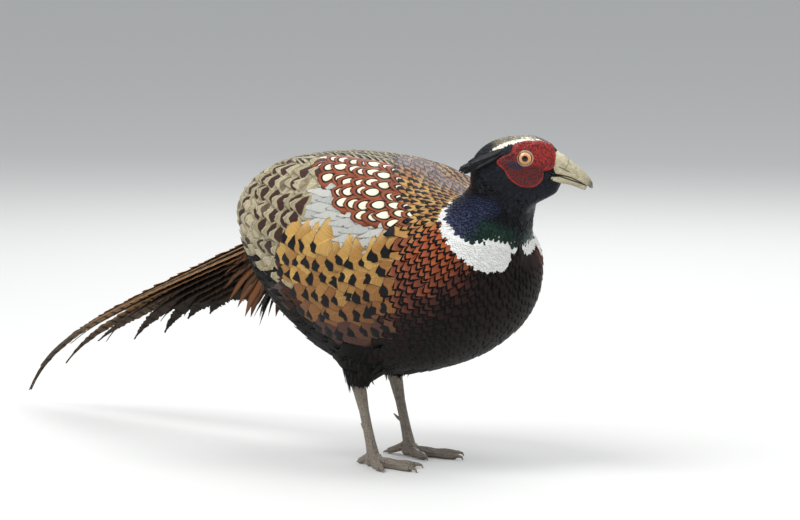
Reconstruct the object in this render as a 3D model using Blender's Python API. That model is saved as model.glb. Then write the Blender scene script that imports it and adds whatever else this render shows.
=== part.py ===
"""A cock common pheasant at life size, standing with a low breast, a high back and its head turned to the left.

Metres, +Z up. The bird faces +X and its left side is +Y. The soles of the toes lie at z = 0.
The body is lofted through named stations. Flight and tail feathers are thin vanes that overlap in tiers.
"""

import math

import bmesh
import bpy
import numpy as np
from mathutils import Matrix, Vector
from mathutils.bvhtree import BVHTree

GAP = 0.0003  # left between neighbouring solids

# The trunk, from the breast to the root of the tail. Its stations are evenly spaced round a half turn, so both ends
# close in a round.
TRUNK_MIDDLE_X = -0.001
TRUNK_HALF_LENGTH = 0.139
TRUNK_CENTRE_Z = (0.158, 0.158, 0.158, 0.159, 0.161, 0.167, 0.177, 0.185, 0.188)
TRUNK_HALF_WIDTH = (0.0, 0.040, 0.063, 0.074, 0.077, 0.073, 0.062, 0.041, 0.0)
TRUNK_RISE = (0.0, 0.028, 0.050, 0.066, 0.074, 0.069, 0.051, 0.029, 0.0)
TRUNK_DROP = (0.0, 0.040, 0.065, 0.081, 0.091, 0.083, 0.059, 0.027, 0.0)
TRUNK_SQUARENESS = 2.2
TRUNK_RINGS = 18
TRUNK_SIDES = 28

# The neck: centre, half width across the head's heading, half depth along it.
NECK_STATIONS = (
    (Vector((0.085, 0.000, 0.166)), 0.054, 0.050),
    (Vector((0.102, 0.000, 0.180)), 0.045, 0.042),
    (Vector((0.112, 0.000, 0.194)), 0.033, 0.033),
    (Vector((0.120, 0.001, 0.209)), 0.026, 0.028),
    (Vector((0.129, 0.002, 0.223)), 0.020, 0.024),
    (Vector((0.136, 0.003, 0.237)), 0.015, 0.019),
)
NECK_RINGS = 9
NECK_SIDES = 18

# The head in its own frame: x along the bill's heading, z up, origin between the eyes.
HEAD_CENTRE = Vector((0.1445, 0.0036, 0.2455))
HEAD_TURN = math.radians(42)
HEAD_STATIONS = (  # x, top, bottom, half width
    (-0.0400, 0.0020, -0.0060, 0.0020),
    (-0.0360, 0.0065, -0.0130, 0.0080),
    (-0.0270, 0.0118, -0.0210, 0.0125),
    (-0.0150, 0.0160, -0.0270, 0.0150),
    (-0.0030, 0.0176, -0.0290, 0.0160),
    (0.0080, 0.0164, -0.0275, 0.0150),
    (0.0180, 0.0117, -0.0255, 0.0115),
    (0.0265, 0.0045, -0.0222, 0.0080),
    (0.0310, -0.0020, -0.0195, 0.0050),
)
HEAD_RINGS = 13
HEAD_SIDES = 16
HEAD_CUT = Vector((-0.012, 0.0, -0.0235))  # a point on the cut between head and neck, in the head's frame
HEAD_CUT_NORMAL = Vector((0.42, 0.0, 0.91))

# The bill, in the head's frame.
CULMEN = ((0.0215, 0.0062), (0.0300, 0.0010), (0.0400, -0.0072), (0.0470, -0.0135), (0.0505, -0.0190), (0.0512, -0.0235))
MOUTH_LINE = ((0.0140, -0.0142), (0.0240, -0.0128), (0.0340, -0.0148), (0.0420, -0.0186), (0.0470, -0.0215), (0.0494, -0.0237))
UPPER_BILL_HALF_WIDTH = (0.0066, 0.0064, 0.0055, 0.0042, 0.0026, 0.0008)
BILL_UNDERSIDE = ((0.0150, -0.0182), (0.0240, -0.0186), (0.0340, -0.0205), (0.0415, -0.0236), (0.0452, -0.0250))
LOWER_BILL_HALF_WIDTH = (0.0062, 0.0058, 0.0046, 0.0034, 0.0016)
NOSTRIL_AT = Vector((0.0285, 0.0, -0.0050))
NOSTRIL_LENGTH = 0.0060
NOSTRIL_HEIGHT = 0.0018

# Eyes, lids and the bare red face.
EYE_RADIUS = 0.0072
EYE_AT = Vector((0.0, 0.0098, 0.0))
LID_RADIUS = 0.0064
LID_THICKNESS = 0.0011
WATTLE_INNER = 0.0086
WATTLE_REACH = (  # angle from the bill's heading in degrees, and reach from the eye
    (0, 0.0215),
    (35, 0.0185),
    (70, 0.0130),
    (110, 0.0120),
    (145, 0.0145),
    (180, 0.0175),
    (215, 0.0165),
    (245, 0.0195),
    (275, 0.0215),
    (305, 0.0205),
    (335, 0.0175),
    (360, 0.0215),
)
WATTLE_THICKNESS = 0.0017
WATTLE_GAP = 0.0005
WATTLE_BULB = 0.0006
WATTLE_STEPS = 26
WATTLE_RINGS = 4

# Tufts at the back of the crown.
TUFT_COUNT = 3
TUFT_LENGTH = 0.021
TUFT_WIDTH = 0.0042

# Wings, folded along the trunk. A place on the trunk is its share of the length, from the breast, and its angle
# above the side in degrees.
VANE_THICKNESS = 0.0007
WING_CORE_LENGTH = (0.30, 0.76)
WING_CORE_ANGLE = (4, 66)
WING_CORE_THICKNESS = 0.0036
WING_CORE_RIM = 0.0012
WING_TIERS = (  # name, count, root share, tip shares, root angles, tip angles, half width, lift at root and tip
    ("primary", 2, 0.64, (0.880, 0.850), (10, 22), (-30, -16), 0.0090, (0.0018, 0.0022)),
    ("secondary", 5, 0.60, (0.885, 0.915), (16, 58), (-6, 56), 0.0150, (0.0022, 0.0036)),
    ("greater_covert", 4, 0.50, (0.700, 0.725), (12, 60), (0, 56), 0.0170, (0.0032, 0.0058)),
    ("median_covert", 3, 0.40, (0.560, 0.575), (14, 56), (8, 52), 0.0190, (0.0040, 0.0066)),
    ("scapular", 2, 0.33, (0.470, 0.490), (40, 66), (38, 64), 0.0170, (0.0044, 0.0070)),
)
WING_VANE_ROLL = math.radians(6.5)
VANE_STEPS = 3

# The tail: pairs of feathers from the long middle pair to the short outer one.
TAIL_ROOT = Vector((-0.116, 0.0, 0.1735))
TAIL_PITCH = math.radians(-19.4)
TAIL_TURN = math.radians(4)
TAIL_SWING = math.radians(7)
TAIL_LENGTHS = (0.410, 0.362, 0.306, 0.253, 0.207, 0.169, 0.137, 0.113, 0.097)
TAIL_HALF_WIDTH = 0.0115
TAIL_STEP_DOWN = 0.0016
TAIL_ROOF = (12, 50)  # roll of the upper and the lowest pair in degrees
TAIL_FAN = 0.3
TAIL_STEPS = 5
TAIL_DROOP = math.radians(34)
TAIL_ROOT_LENGTH = 0.060
TAIL_ROOT_HALF_WIDTH = 0.026
TAIL_ROOT_HALF_HEIGHT = 0.022
TAIL_COVERTS = 3
TAIL_COVERT_LENGTH = 0.098
UNDER_COVERTS = 2

# Legs. The right foot is a little ahead of the left one.
LEG_SPREAD = 0.034
HIP_Z = 0.126
HOCK_Z = 0.062
TARSUS_LENGTH_X = 0.018
RIGHT_FOOT_X = 0.016
LEFT_FOOT_X = -0.014
THIGH_RADII = (0.030, 0.027, 0.0235, 0.0175, 0.0085)
TARSUS_RADIUS = 0.0041
TOE_RADIUS = 0.0042
TOES = (  # turn from the heading in degrees, length, claw length
    (30, 0.035, 0.009),
    (0, 0.047, 0.010),
    (-28, 0.037, 0.009),
)
HIND_TOE_LENGTH = 0.017
SPUR_LENGTH = 0.011

COLOURS = {  # colour, roughness
    "plumage_copper": ((0.33, 0.12, 0.06), 0.6),
    "plumage_buff": ((0.48, 0.38, 0.24), 0.65),
    "plumage_tail": ((0.30, 0.20, 0.11), 0.65),
    "plumage_green": ((0.02, 0.04, 0.05), 0.35),
    "plumage_black": ((0.03, 0.025, 0.02), 0.7),
    "bare_skin": ((0.48, 0.02, 0.02), 0.45),
    "bill_horn": ((0.62, 0.57, 0.42), 0.4),
    "leg_scales": ((0.30, 0.28, 0.25), 0.5),
    "eye": ((0.75, 0.38, 0.10), 0.08),
}


def clear_scene():
    for old in list(bpy.data.objects):
        bpy.data.objects.remove(old)


def material(slot):
    found = bpy.data.materials.get(slot)
    if found:
        return found
    made = bpy.data.materials.new(slot)
    made.use_nodes = True
    shader = made.node_tree.nodes["Principled BSDF"]
    colour, roughness = COLOURS[slot]
    shader.inputs["Base Color"].default_value = (*colour, 1)
    shader.inputs["Roughness"].default_value = roughness
    return made


def collection(name):
    found = bpy.data.collections.get(name)
    if not found:
        found = bpy.data.collections.new(name)
        bpy.context.scene.collection.children.link(found)
    return found


def add_mesh(name, points, faces, slot="plumage_copper", home="pheasant"):
    """A mesh object from points and faces, with its faces pointing out."""
    mesh = bpy.data.meshes.new(name)
    mesh.from_pydata([tuple(p) for p in points], [], [tuple(f) for f in faces])
    work = bmesh.new()
    work.from_mesh(mesh)
    bmesh.ops.recalc_face_normals(work, faces=work.faces)
    work.to_mesh(mesh)
    work.free()
    made = bpy.data.objects.new(name, mesh)
    collection(home).objects.link(made)
    mesh.materials.append(material(slot))
    return made


def smooth(stations, share):
    """A smooth curve through evenly spaced stations, at a share of its length."""
    values = np.asarray(stations, float)
    last = len(values) - 1
    place = np.clip(share, 0, 1) * last
    i = min(int(place), last - 1)
    u = place - i
    slopes = np.gradient(values, axis=0)
    return (
        (2 * u**3 - 3 * u**2 + 1) * values[i]
        + (u**3 - 2 * u**2 + u) * slopes[i]
        + (3 * u**2 - 2 * u**3) * values[i + 1]
        + (u**3 - u**2) * slopes[i + 1]
    )


def superellipse(angle, power):
    """(across, up) on a unit superellipse."""
    c, s = math.cos(angle), math.sin(angle)
    return (
        math.copysign(abs(c) ** (2 / power), c),
        math.copysign(abs(s) ** (2 / power), s),
    )


def loft(name, rings, slot, home="pheasant"):
    """A closed body through rings of points, with a fan at each end."""
    sides = len(rings[0])
    points = [p for ring in rings for p in ring]
    faces = []
    for i in range(len(rings) - 1):
        for j in range(sides):
            k = (j + 1) % sides
            faces.append((i * sides + j, i * sides + k, (i + 1) * sides + k, (i + 1) * sides + j))
    for ring in (0, len(rings) - 1):
        middle = sum((Vector(p) for p in rings[ring]), Vector()) / sides
        points.append(middle)
        for j in range(sides):
            faces.append((ring * sides + j, ring * sides + (j + 1) % sides, len(points) - 1))
    return add_mesh(name, points, faces, slot, home)


def apply_boolean(target, operation, operand=None, operands=None, solver="MANIFOLD"):
    """Applies one Boolean to target, and removes what it was given."""
    modifier = target.modifiers.new("join", "BOOLEAN")
    modifier.operation = operation
    modifier.solver = solver
    if operands:
        modifier.operand_type = "COLLECTION"
        modifier.collection = operands
    else:
        modifier.object = operand
    bpy.context.view_layer.update()
    graph = bpy.context.evaluated_depsgraph_get()
    made = bpy.data.meshes.new_from_object(target.evaluated_get(graph))
    target.modifiers.clear()
    target.data = made
    for old in list(operands.objects) if operands else [operand]:
        bpy.data.objects.remove(old)
    return target


def keep_largest(target):
    """Drops every closed surface of target but the largest."""
    work = bmesh.new()
    work.from_mesh(target.data)
    bmesh.ops.triangulate(work, faces=work.faces)
    left = set(work.verts)
    islands = []
    while left:
        seed = left.pop()
        island, edge_of = {seed}, [seed]
        while edge_of:
            for link in edge_of.pop().link_edges:
                for other in link.verts:
                    if other in left:
                        left.discard(other)
                        island.add(other)
                        edge_of.append(other)
        islands.append(island)
    islands.sort(key=island_size)
    for island in islands[:-1]:
        bmesh.ops.delete(work, geom=list(island), context="VERTS")
    work.to_mesh(target.data)
    work.free()
    return target


def island_size(island):
    xs = [v.co.x for v in island]
    ys = [v.co.y for v in island]
    zs = [v.co.z for v in island]
    return (max(xs) - min(xs) + 1e-6) * (max(ys) - min(ys) + 1e-6) * (max(zs) - min(zs) + 1e-6)


def fuse(target, pieces):
    """Joins the pieces to target as one closed body."""
    group = collection("pieces_of_" + target.name)
    for piece in pieces:
        for home in list(piece.users_collection):
            home.objects.unlink(piece)
        group.objects.link(piece)
    apply_boolean(target, "UNION", operands=group)
    bpy.data.collections.remove(group)
    return keep_largest(target)


def inflated(source, by, name="cutter"):
    """A copy of source with its surface moved out by a distance."""
    work = bmesh.new()
    work.from_mesh(source.data)
    work.normal_update()
    moves = [(v, v.normal * (by * v.calc_shell_factor())) for v in work.verts]
    for v, move in moves:
        v.co += move
    mesh = bpy.data.meshes.new(name)
    work.to_mesh(mesh)
    work.free()
    made = bpy.data.objects.new(name, mesh)
    collection("cutters").objects.link(made)
    made.hide_render = True
    made.display_type = "WIRE"
    return made


def carve(target, neighbour, by=GAP):
    """Cuts target back so that it meets its neighbour face to face."""
    apply_boolean(target, "DIFFERENCE", inflated(neighbour, by))
    return keep_largest(target)


def vane(name, line, sides, normals, half_widths, thickness, camber=0.05, home="pieces"):
    """A feather: a thin closed strip with a raised shaft, split into triangles alike on both faces."""
    points, faces = [], []
    for p, s, n, w in zip(line, sides, normals, half_widths):
        edge_drop = n * (camber * w + w * w / 0.16)
        for at in (p - s * w - edge_drop, p, p + s * w - edge_drop):
            points.append(at)
            points.append(at - n * thickness)
    for i in range(len(line) - 1):
        a, b = 6 * i, 6 * (i + 1)
        for column in (0, 2):
            top = (a + column, a + column + 2, b + column + 2, b + column)
            faces += [(top[0], top[1], top[2]), (top[0], top[2], top[3])]
            low = tuple(k + 1 for k in top)
            faces += [(low[0], low[2], low[1]), (low[0], low[3], low[2])]
        for left in (a, a + 4):
            faces.append((left, left + 1, left + 7, left + 6))
    for a in (0, 6 * (len(line) - 1)):
        faces += [(a, a + 2, a + 3, a + 1), (a + 2, a + 4, a + 5, a + 3)]
    return add_mesh(name, points, faces, home=home)


def leaf_width(share, tip=0.16, fullest=0.5):
    """How wide a feather is along its length, as a share of its widest."""
    grow = min(1, 0.55 + 0.45 * share / fullest)
    close = 1 - max(0, (share - 0.72) / 0.28) ** 2
    return max(tip, grow * close)


def trunk_point(share, angle, lift=0.0):
    """A point of the trunk at a share of its length and an angle round it: 0 is the left side, 90 degrees the back."""
    x = TRUNK_MIDDLE_X + TRUNK_HALF_LENGTH * math.cos(math.pi * share)
    across, up = superellipse(angle, TRUNK_SQUARENESS)
    height = smooth(TRUNK_RISE, share) if up > 0 else smooth(TRUNK_DROP, share)
    at = Vector((x, smooth(TRUNK_HALF_WIDTH, share) * across, smooth(TRUNK_CENTRE_Z, share) + height * up))
    if not lift:
        return at
    return at + trunk_normal(share, angle) * lift


def trunk_normal(share, angle):
    step = 0.004
    along = trunk_point(min(share + step, 0.999), angle) - trunk_point(max(share - step, 0.001), angle)
    round_it = trunk_point(share, angle + step) - trunk_point(share, angle - step)
    return along.cross(round_it).normalized()


def make_trunk():
    rings = []
    for i in range(1, TRUNK_RINGS):
        share = i / TRUNK_RINGS
        rings.append([trunk_point(share, 2 * math.pi * j / TRUNK_SIDES) for j in range(TRUNK_SIDES)])
    return loft("torso", rings, "plumage_copper")


def head_axes():
    forward = Vector((math.cos(HEAD_TURN), math.sin(HEAD_TURN), 0))
    return forward, Vector((-forward.y, forward.x, 0)), Vector((0, 0, 1))


def from_head(x, y, z):
    """A place in the head's frame, in the bird's."""
    forward, left, up = head_axes()
    return HEAD_CENTRE + forward * x + left * y + up * z


def make_neck():
    rings = []
    forward_end, left_end, _ = head_axes()
    centres = [tuple(s[0]) for s in NECK_STATIONS]
    for i in range(NECK_RINGS):
        share = i / (NECK_RINGS - 1)
        centre = Vector(smooth(centres, share))
        along = Vector(smooth(centres, min(share + 0.02, 1))) - Vector(smooth(centres, max(share - 0.02, 0)))
        left = Vector((0, 1, 0)).lerp(left_end, share).normalized()
        front = left.cross(along.normalized()).normalized()
        across = along.normalized().cross(front).normalized()
        half_width = smooth([s[1] for s in NECK_STATIONS], share)
        half_depth = smooth([s[2] for s in NECK_STATIONS], share)
        ring = []
        for j in range(NECK_SIDES):
            angle = 2 * math.pi * j / NECK_SIDES
            ring.append(centre + across * (half_width * math.cos(angle)) + front * (half_depth * math.sin(angle)))
        rings.append(ring)
    return loft("neck", rings, "plumage_green")


def head_section(share):
    return smooth(HEAD_STATIONS, share)


def make_skull():
    rings = []
    for i in range(HEAD_RINGS):
        x, top, bottom, half_width = head_section(i / (HEAD_RINGS - 1))
        middle, half_height = (top + bottom) / 2, (top - bottom) / 2
        ring = []
        for j in range(HEAD_SIDES):
            angle = 2 * math.pi * j / HEAD_SIDES
            across, up = superellipse(angle, 2.2)
            ring.append(from_head(x, half_width * across, middle + half_height * up))
        rings.append(ring)
    return loft("head", rings, "plumage_green")


def make_tufts():
    """Tapered tufts on both sides of the back of the crown, each bent up at its tip."""
    tufts = []
    for side in (1, -1):
        for k in range(TUFT_COUNT):
            start = Vector((-0.0205, side * (0.0035 + 0.0036 * k), 0.0104 - 0.0042 * k))
            length = TUFT_LENGTH * (1.0 - 0.10 * k)
            line, sides, normals, widths = [], [], [], []
            for i in range(4):
                share = i / 3
                back = -length * (0.15 + share)
                rise = -0.75 * length * share + 0.14 * length * share**2
                line.append(from_head(start.x + back, start.y + side * 0.003 * share, start.z + rise))
                sides.append(Vector(from_head(0, side, 0.35) - HEAD_CENTRE).normalized())
                normals.append(Vector(from_head(0.25, -0.35 * side, 1) - HEAD_CENTRE).normalized())
                widths.append(TUFT_WIDTH * (1 - 0.62 * share))
            tufts.append(vane("tuft", line, sides, normals, widths, 0.0022))
    return tufts


def eye_point(side):
    return from_head(EYE_AT.x, side * EYE_AT.y, EYE_AT.z)


def ball(name, centre, radius, slot="eye", home="pheasant", segments=12):
    mesh = bpy.data.meshes.new(name)
    work = bmesh.new()
    bmesh.ops.create_uvsphere(work, u_segments=segments, v_segments=segments // 2 + 2, radius=radius)
    work.to_mesh(mesh)
    work.free()
    made = bpy.data.objects.new(name, mesh)
    turn = Vector((0, 0, 1)).rotation_difference(head_axes()[1]).to_matrix().to_4x4()
    mesh.transform(Matrix.Translation(centre) @ turn)
    collection(home).objects.link(made)
    mesh.materials.append(material(slot))
    return made


def lid_ring(side):
    """The rim of the lids, a ring round the opening of the eye."""
    forward, left, up = head_axes()
    reach = math.sqrt(EYE_RADIUS**2 - LID_RADIUS**2) + 0.0010
    centre = eye_point(side) + left * (side * reach)
    rings = []
    steps = 14
    for i in range(steps):
        turn = 2 * math.pi * i / steps
        out = forward * math.cos(turn) * 1.08 + up * math.sin(turn)
        ring = []
        for j in range(6):
            angle = 2 * math.pi * j / 6
            along = math.cos(angle) * LID_THICKNESS
            deep = math.sin(angle) * LID_THICKNESS * 1.5
            ring.append(centre + out * (LID_RADIUS + along) + left * (side * deep))
        rings.append(ring)
    points = [p for ring in rings for p in ring]
    faces = []
    for i in range(steps):
        for j in range(6):
            k, n = (j + 1) % 6, (i + 1) % steps
            faces.append((i * 6 + j, i * 6 + k, n * 6 + k, n * 6 + j))
    return add_mesh("lid", points, faces, home="pieces")


def wattle_reach(angle):
    degrees = math.degrees(angle) % 360
    for (a, low), (b, high) in zip(WATTLE_REACH, WATTLE_REACH[1:]):
        if a <= degrees <= b:
            u = (degrees - a) / (b - a)
            u = u * u * (3 - 2 * u)
            return low + (high - low) * u
    return WATTLE_REACH[0][1]


def make_wattle(side, head):
    """The bare red skin round the eye: a thick patch that follows the head, raised in folds and bulbs."""
    _, left, _ = head_axes()
    tree = BVHTree.FromObject(head, bpy.context.evaluated_depsgraph_get())
    name = "wattle_left" if side > 0 else "wattle_right"
    columns = WATTLE_RINGS + 1
    skin, outer = [], []
    for i in range(WATTLE_STEPS):
        angle = 2 * math.pi * i / WATTLE_STEPS
        reach = wattle_reach(angle)
        for k in range(columns):
            share = k / WATTLE_RINGS
            radius = WATTLE_INNER + (reach - WATTLE_INNER) * share
            start = from_head(radius * math.cos(angle), side * 0.05, radius * math.sin(angle))
            hit, normal, _, _ = tree.ray_cast(start, left * -side)
            bulb = WATTLE_BULB * math.sin(5 * angle + 2.2 * k) * math.sin(math.pi * min(1, share + 0.15))
            edge = 0.45 + 0.55 * math.sin(math.pi * (0.12 + 0.76 * share))
            skin.append(hit + normal * WATTLE_GAP)
            outer.append(hit + normal * (WATTLE_GAP + WATTLE_THICKNESS * edge + bulb))
    points = skin + outer
    half = len(skin)
    faces = []
    for i in range(WATTLE_STEPS):
        n = (i + 1) % WATTLE_STEPS
        for k in range(WATTLE_RINGS):
            quad = (i * columns + k, n * columns + k, n * columns + k + 1, i * columns + k + 1)
            faces += [(quad[0], quad[1], quad[2]), (quad[0], quad[2], quad[3])]
            high = tuple(q + half for q in quad)
            faces += [(high[0], high[2], high[1]), (high[0], high[3], high[2])]
        for k in (0, WATTLE_RINGS):
            a, b = i * columns + k, n * columns + k
            faces.append((a, b, b + half, a + half))
    return add_mesh(name, points, faces, "bare_skin")


def bill_half(name, top_line, low_line, half_widths, roundness):
    """A mandible between two lines of its profile, in the head's frame."""
    rings = []
    steps = 9
    for i in range(steps):
        share = i / (steps - 1)
        tx, tz = smooth(top_line, share)
        bx, bz = smooth(low_line, share)
        half_width = float(smooth(half_widths, share))
        ring = []
        for j in range(10):
            angle = 2 * math.pi * j / 10
            across, up = superellipse(angle, roundness)
            mix = (up + 1) / 2
            ring.append(from_head(bx + (tx - bx) * mix, half_width * across, bz + (tz - bz) * mix))
        rings.append(ring)
    return loft(name, rings, "bill_horn")


def lowered(line, by):
    return [(x, z - by) for x, z in line]


def make_bill():
    upper = bill_half("bill_upper", CULMEN, MOUTH_LINE, UPPER_BILL_HALF_WIDTH, 2.3)
    mouth = lowered(MOUTH_LINE[:-1], 0.0006)
    lower = bill_half("bill_lower", mouth, BILL_UNDERSIDE, LOWER_BILL_HALF_WIDTH, 2.3)
    for side in (1, -1):
        at = from_head(NOSTRIL_AT.x, side * 0.0062, NOSTRIL_AT.z)
        cutter = ball("nostril", at, 0.5, home="cutters", segments=8)
        shrink_to(cutter, at, (NOSTRIL_LENGTH, 0.0030, NOSTRIL_HEIGHT), math.radians(32))
        apply_boolean(upper, "DIFFERENCE", cutter)
        keep_largest(upper)
    return upper, lower


def shrink_to(target, centre, sizes, slope):
    """Gives a unit ball its length, depth and height in the head's frame, sloping down towards the bill's tip."""
    forward, left, up = head_axes()
    along = forward * math.cos(slope) - up * math.sin(slope)
    high = up * math.cos(slope) + forward * math.sin(slope)
    for v in target.data.vertices:
        offset = v.co - centre
        v.co = (
            centre
            + along * (offset.dot(forward) * sizes[0])
            + left * (offset.dot(left) * sizes[1])
            + high * (offset.dot(up) * sizes[2])
        )


def cut_by_plane(source, at, normal, name, slot, keep_above):
    """The part of source on one side of a plane, less half the gap."""
    work = bmesh.new()
    work.from_mesh(source.data)
    shift = normal.normalized() * (GAP / 2 if keep_above else -GAP / 2)
    geometry = work.verts[:] + work.edges[:] + work.faces[:]
    cut = bmesh.ops.bisect_plane(
        work,
        geom=geometry,
        plane_co=at + shift,
        plane_no=normal,
        clear_inner=keep_above,
        clear_outer=not keep_above,
    )
    edges = [g for g in cut["geom_cut"] if isinstance(g, bmesh.types.BMEdge)]
    bmesh.ops.contextual_create(work, geom=edges)
    bmesh.ops.triangulate(work, faces=work.faces)
    bmesh.ops.recalc_face_normals(work, faces=work.faces)
    mesh = bpy.data.meshes.new(name)
    work.to_mesh(mesh)
    work.free()
    made = bpy.data.objects.new(name, mesh)
    collection("pheasant").objects.link(made)
    mesh.materials.clear()
    mesh.materials.append(material(slot))
    return keep_largest(made)


def make_head_and_neck(trunk):
    whole = make_skull()
    whole.name = "head_and_neck"
    fuse(whole, [make_neck()])
    at = from_head(*HEAD_CUT)
    normal = from_head(*HEAD_CUT_NORMAL) - HEAD_CENTRE
    head = cut_by_plane(whole, at, normal, "head", "plumage_green", True)
    neck = cut_by_plane(whole, at, normal, "neck", "plumage_green", False)
    bpy.data.objects.remove(whole)
    carve(neck, trunk)
    upper, lower = make_bill()
    carve(upper, head)
    carve(lower, head)
    smooth_head = inflated(head, 0.0, "smooth_head")
    fuse(head, make_tufts() + [lid_ring(1), lid_ring(-1)])
    for side, suffix in ((1, "left"), (-1, "right")):
        eye = ball("eye_" + suffix, eye_point(side), EYE_RADIUS)
        apply_boolean(head, "DIFFERENCE", inflated(eye, GAP))
        keep_largest(head)
        carve(make_wattle(side, smooth_head), smooth_head)
    bpy.data.objects.remove(smooth_head)
    return head, neck


def wing_core(side):
    """The folded arm under the coverts: a patch on the trunk, thin at its rim."""
    columns, rows = 6, 5
    low, high = [], []
    for i in range(columns + 1):
        share = WING_CORE_LENGTH[0] + (WING_CORE_LENGTH[1] - WING_CORE_LENGTH[0]) * i / columns
        for j in range(rows + 1):
            degrees = WING_CORE_ANGLE[0] + (WING_CORE_ANGLE[1] - WING_CORE_ANGLE[0]) * j / rows
            angle = math.radians(degrees if side > 0 else 180 - degrees)
            bulge = (math.sin(math.pi * i / columns) * math.sin(math.pi * j / rows)) ** 0.6
            low.append(trunk_point(share, angle, -0.004))
            high.append(trunk_point(share, angle, WING_CORE_RIM + WING_CORE_THICKNESS * bulge))
    points = low + high
    half = len(low)
    faces = []
    for i in range(columns):
        for j in range(rows):
            a = i * (rows + 1) + j
            quad = (a, a + 1, a + rows + 2, a + rows + 1)
            faces += [(quad[0], quad[1], quad[2]), (quad[0], quad[2], quad[3])]
            top = tuple(q + half for q in quad)
            faces += [(top[0], top[2], top[1]), (top[0], top[3], top[2])]
    rim = [i * (rows + 1) for i in range(columns + 1)]
    rim += [columns * (rows + 1) + j for j in range(1, rows + 1)]
    rim += [i * (rows + 1) + rows for i in range(columns - 1, -1, -1)]
    rim += [j for j in range(rows - 1, 0, -1)]
    for a, b in zip(rim, rim[1:] + rim[:1]):
        faces.append((a, b, b + half, a + half))
    name = "wing_left" if side > 0 else "wing_right"
    return add_mesh(name, points, faces, "plumage_buff")


def wing_vane(side, root, tip, half_width, lifts):
    """A feather that lies on the trunk from root to tip, each a share and an angle in degrees. Its lower edge is
    tucked under the feather below it."""
    line, sides, normals, widths = [], [], [], []
    for i in range(VANE_STEPS + 1):
        share = i / VANE_STEPS
        degrees = root[1] + (tip[1] - root[1]) * share**1.3
        angle = math.radians(degrees if side > 0 else 180 - degrees)
        along = root[0] + (tip[0] - root[0]) * share
        lift = lifts[0] + (lifts[1] - lifts[0]) * share + VANE_THICKNESS
        line.append(trunk_point(along, angle, lift))
        normals.append(trunk_normal(along, angle))
        widths.append(half_width * leaf_width(share, tip=0.30))
    for i in range(VANE_STEPS + 1):
        ahead, behind = line[min(i + 1, VANE_STEPS)], line[max(i - 1, 0)]
        roll = Matrix.Rotation(side * WING_VANE_ROLL, 3, (ahead - behind).normalized())
        sides.append(roll @ normals[i].cross(ahead - behind).normalized())
        normals[i] = roll @ normals[i]
    return vane("vane", line, sides, normals, widths, VANE_THICKNESS)


def make_wing(side, trunk):
    core = wing_core(side)
    vanes = []
    for _, count, root_share, tip_shares, root_angles, tip_angles, half_width, lifts in WING_TIERS:
        for k in range(count):
            mix = k / (count - 1)
            root = (root_share, root_angles[0] + (root_angles[1] - root_angles[0]) * mix)
            tip_share = tip_shares[0] + (tip_shares[1] - tip_shares[0]) * mix
            tip = (tip_share, tip_angles[0] + (tip_angles[1] - tip_angles[0]) * mix)
            vanes.append(wing_vane(side, root, tip, half_width, lifts))
    fuse(core, vanes)
    return carve(core, trunk)


def feather_line(start, pitch, turn, length, steps, droop, swing, bend_power=3):
    """Points along a feather that leaves start behind the bird, and bends down and sideways towards its tip."""
    line = [start.copy()]
    for i in range(steps):
        share = (i + 0.5) / steps
        down = pitch - droop * share**bend_power
        aside = turn + swing * share
        heading = Vector((-math.cos(aside) * math.cos(down), math.sin(aside) * math.cos(down), math.sin(down)))
        line.append(line[-1] + heading * (length / steps))
    return line


def free_vane(line, roll, half_width, thickness, taper):
    """A feather along a line, rolled about it."""
    sides, normals, widths = [], [], []
    last = len(line) - 1
    for i in range(len(line)):
        along = (line[min(i + 1, last)] - line[max(i - 1, 0)]).normalized()
        level = Vector((0, 0, 1)).cross(along).normalized()
        normal = along.cross(level).normalized()
        turn = Matrix.Rotation(roll, 3, along)
        sides.append(turn @ level)
        normals.append(turn @ normal)
        share = i / last
        widths.append(half_width * taper(share))
    return vane("vane", line, sides, normals, widths, thickness)


def tail_taper(share):
    return max(0.14, (1 - share**1.6) ** 0.9)


def covert_taper(share):
    return max(0.14, (0.7 + 0.3 * share) * (1 - share**4))


def tail_root():
    """The root of the tail, which narrows from inside the trunk."""
    rings = []
    for share in (0.0, 0.25, 0.5, 0.75, 1.0):
        centre = feather_line(TAIL_ROOT, TAIL_PITCH, TAIL_TURN, TAIL_ROOT_LENGTH * share + 1e-6, 1, 0, 0)[-1]
        size = 1 - 0.5 * share
        ring = []
        for j in range(12):
            angle = 2 * math.pi * j / 12
            across = TAIL_ROOT_HALF_WIDTH * size * math.cos(angle)
            ring.append(centre + Vector((0, across, TAIL_ROOT_HALF_HEIGHT * (size * math.sin(angle) - 0.25))))
        rings.append(ring)
    return loft("tail", rings, "plumage_tail")


def tail_feather(pair, side, length):
    """One of a pair. The middle pair lies flat, and each pair below it is nested under the last like a steeper roof."""
    half_width = TAIL_HALF_WIDTH * (1 + 0.02 * pair)
    roll = math.radians(TAIL_ROOF[0] + (TAIL_ROOF[1] - TAIL_ROOF[0]) * pair / (len(TAIL_LENGTHS) - 1))
    if pair == 0:
        roll = math.radians(4)
        offset = Vector((0, side * 0.0030, 0.0020 if side > 0 else 0.0002))
    else:
        across = half_width * math.cos(roll) + 0.0006
        down = half_width * math.sin(roll) + TAIL_STEP_DOWN * pair
        offset = Vector((0, side * across, -down))
    turn = TAIL_TURN + side * math.radians(TAIL_FAN * pair)
    share = length / TAIL_LENGTHS[0]
    droop = TAIL_DROOP * share**4
    line = feather_line(TAIL_ROOT + offset, TAIL_PITCH, turn, length, TAIL_STEPS, droop, TAIL_SWING * share, 7)
    return free_vane(line, -side * roll, half_width, 0.0008, tail_taper)


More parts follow.
